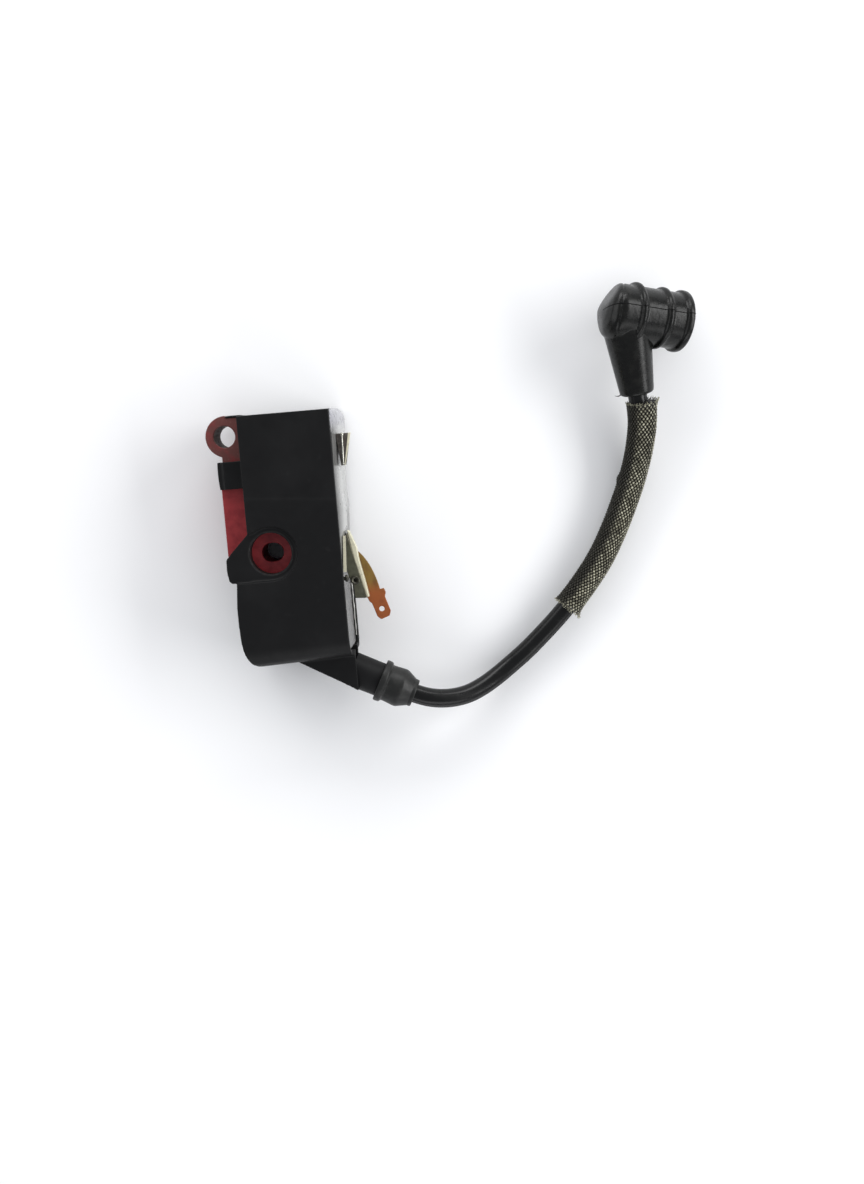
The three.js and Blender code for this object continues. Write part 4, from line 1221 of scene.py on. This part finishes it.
def stop_terminal():
    """A flat stamping: a broad root in the resin, a curved horn and a notched push-on tab."""
    horn_out = curve_points((25.6, -38.1), (28.6, -39.3), (31.9, -43.6), (33.35, -50.9), 14)
    horn_in = curve_points((29.9, -52.2), (29.3, -48.2), (28.0, -44.2), (25.6, -42.3), 12)
    tab = [(34.45, -50.75), (34.9, -51.9), (34.55, -53.1), (35.85, -57.3), (35.4, -58.6), (33.0, -59.45),
           (32.0, -58.6), (30.75, -54.6), (30.15, -54.3), (29.6, -52.9)]
    outer = [(20.5, -37.9), *horn_out, *rounded(tab, 0.3, 2), *horn_in, (20.5, -42.3)][::-1]
    hole = arc((33.4, -56.5), 0.76, 0, 360, 28)[:-1]
    part = in_tub(plate([outer, hole], 11.6, 12.4, 0.1))
    make("stop_terminal_blade", part, "terminal", stands_for=["stop_terminal"])


def curve_points(p0, p1, p2, p3, count):
    """Points on a cubic curve between p0 and p3."""
    t = np.linspace(0, 1, count)
    weights = [(1 - t) ** 3, 3 * t * (1 - t) ** 2, 3 * t * t * (1 - t), t**3]
    return [tuple(point) for point in np.transpose(weights) @ np.array((p0, p1, p2, p3), float)]


LUG_LEFT, LUG_TOP, LUG_BOTTOM, LUG_FOLD = 26.7, -6.9, -15.6, 20.1


def earth_lug():
    """Tapering cheeks joined by a web that stands against the resin, with a fold in front."""
    x, top, bottom = LUG_LEFT, LUG_TOP, LUG_BOTTOM
    cheek = rounded_loop([(x, bottom), (x + 0.6, bottom), (x + 2.8, top), (x, top)], 0.15, 2)
    far = rounded_loop([(x, bottom), (x + 0.5, bottom), (x + 2.4, top), (x, top)], 0.15, 2)
    near = rounded_loop([(x - 0.4, bottom), (x + 0.4, bottom), (x + 0.4, top), (x - 1.2, top)], 0.12, 2)
    web = rounded_loop([(x, bottom), (x + 0.45, bottom), (x + 0.45, top), (x, top)], 0.1, 2)
    prong = [(22.2, -12.2), (27, -12.2), (27, -9.8), (22.2, -9.8)]
    parts = [
        plate([cheek], 18.4, 18.9), plate([far], 13.6, 14.1), plate([near], LUG_FOLD - 0.5, LUG_FOLD),
        plate([web], 13.7, LUG_FOLD - 0.1), plate([prong], 15.9, 16.5),
    ]
    make("earth_lug_sheet", in_tub(merged(parts)), "lug", stands_for=["earth_lug"])


def lug_edge():
    """The sheared edge on the outside of the front cheek, painted bright as a highlight."""
    x, top, bottom = LUG_LEFT, LUG_TOP, LUG_BOTTOM
    strip = [(x + 0.42, bottom), (x + 0.62, bottom - 0.02), (x + 2.84, top + 0.02), (x + 2.1, top)]
    make("earth_lug_edge", in_tub(plate([strip], 18.38, 18.93, 0.05)), "edge")


def lug_pin():
    start = tub(26.98, -15.4, 20.45)
    profile = rounded(
        [(0, 0), (0.22, 0), (0.25, 7.7), (0.42, 7.8), (0.52, 8.1), (0.45, 8.5), (0.25, 8.65), (0, 8.7)], 0.15
    )
    make("lug_pin_body", lathe(profile, start, (0.03, 1, 0.006), 24), "plated", stands_for=["lug_pin"])


# ------------ what the tub hides


def hidden_parts():
    """The parts cast into the resin keep their CAD shape and get their finish."""
    finishes = {
        "steel": ["coil_core_stack"],
        "bobbin": ["primary_bobbin", "secondary_bobbin"],
        "wire": ["primary_winding", "ht_link_wire", *[f"secondary_winding_{i}" for i in range(1, 5)]],
        "board": ["circuit_board"],
        "capacitor": ["capacitor"],
        "component": ["power_transistor", "control_thyristor", "clamp_diode"],
        "resistor": ["trigger_resistor"],
        "plated": ["ht_contact_spike", "plug_contact_spring"],
    }
    for finish, names in finishes.items():
        for name in names:
            node = NODES[name]
            node.data.materials.clear()
            node.data.materials.append(PAINT[finish])


# ------------ stage


def make_stage():
    floor_paint = Paint("floor", "floor", (0.93, 0.93, 0.93), 0.8)
    floor_paint.blend((0.9, 0.9, 0.9), floor_paint.noise(0.01, 2))
    mesh = bpy.data.meshes.new("floor")
    mesh.from_pydata([(-3, -3, 0), (3, -3, 0), (3, 3, 0), (-3, 3, 0)], [], [(0, 1, 2, 3)])
    mesh.materials.append(floor_paint.done())
    floor = linked("floor", mesh)
    world = bpy.data.worlds.new("studio")
    world.use_nodes = True
    world.node_tree.nodes["Background"].inputs["Color"].default_value = (0.9, 0.93, 1, 1)
    world.node_tree.nodes["Background"].inputs["Strength"].default_value = 0.42
    bpy.context.scene.world = world
    bpy.context.scene.view_settings.view_transform = "Standard"
    soft_light("right_strip", (1.25, 0.1, 0.66), (1.6, 0.5), 17)
    soft_light("back_strip", (0.0, 1.3, 0.55), (1.8, 0.5), 16)
    soft_light("left_strip", (-1.1, 0.3, 0.6), (1.4, 0.5), 5)
    soft_light("front_strip", (0.25, -1.15, 0.6), (1.4, 0.5), 5)


def soft_light(name, spot, size, power):
    """A wide, low softbox that faces the piece."""
    data = bpy.data.lights.new(name, "AREA")
    data.shape = "RECTANGLE"
    data.size, data.size_y = size
    data.energy = power
    light = linked(name, data)
    light.location = spot
    target = (cad_bounds[0] + cad_bounds[1]) / 2
    back = (Vector(spot) - target).normalized()
    wide = Vector((0, 0, 1)).cross(back).normalized()
    light.rotation_euler = Matrix((wide, back.cross(wide), back)).transposed().to_euler()


# ------------ assembly
make_camera()
lead, lead_path = ht_lead()
sleeve = braided_sleeve()
liner = sleeve_shade_tube()
frays = frayed_ends()
boot = plug_boot()
parting = boot_parting_line()
tag = boot_flash_tag()

housing()
counterbore_edge()
upper_core()
lower_core()
resin_face()
resin_meniscus()
outlet_snout()
outlet_cap()
earth_bracket()
bracket_web()
bracket_eyelet()
bracket_pin()
stop_terminal()
earth_lug()
lug_edge()
lug_pin()
hidden_parts()
make_stage()
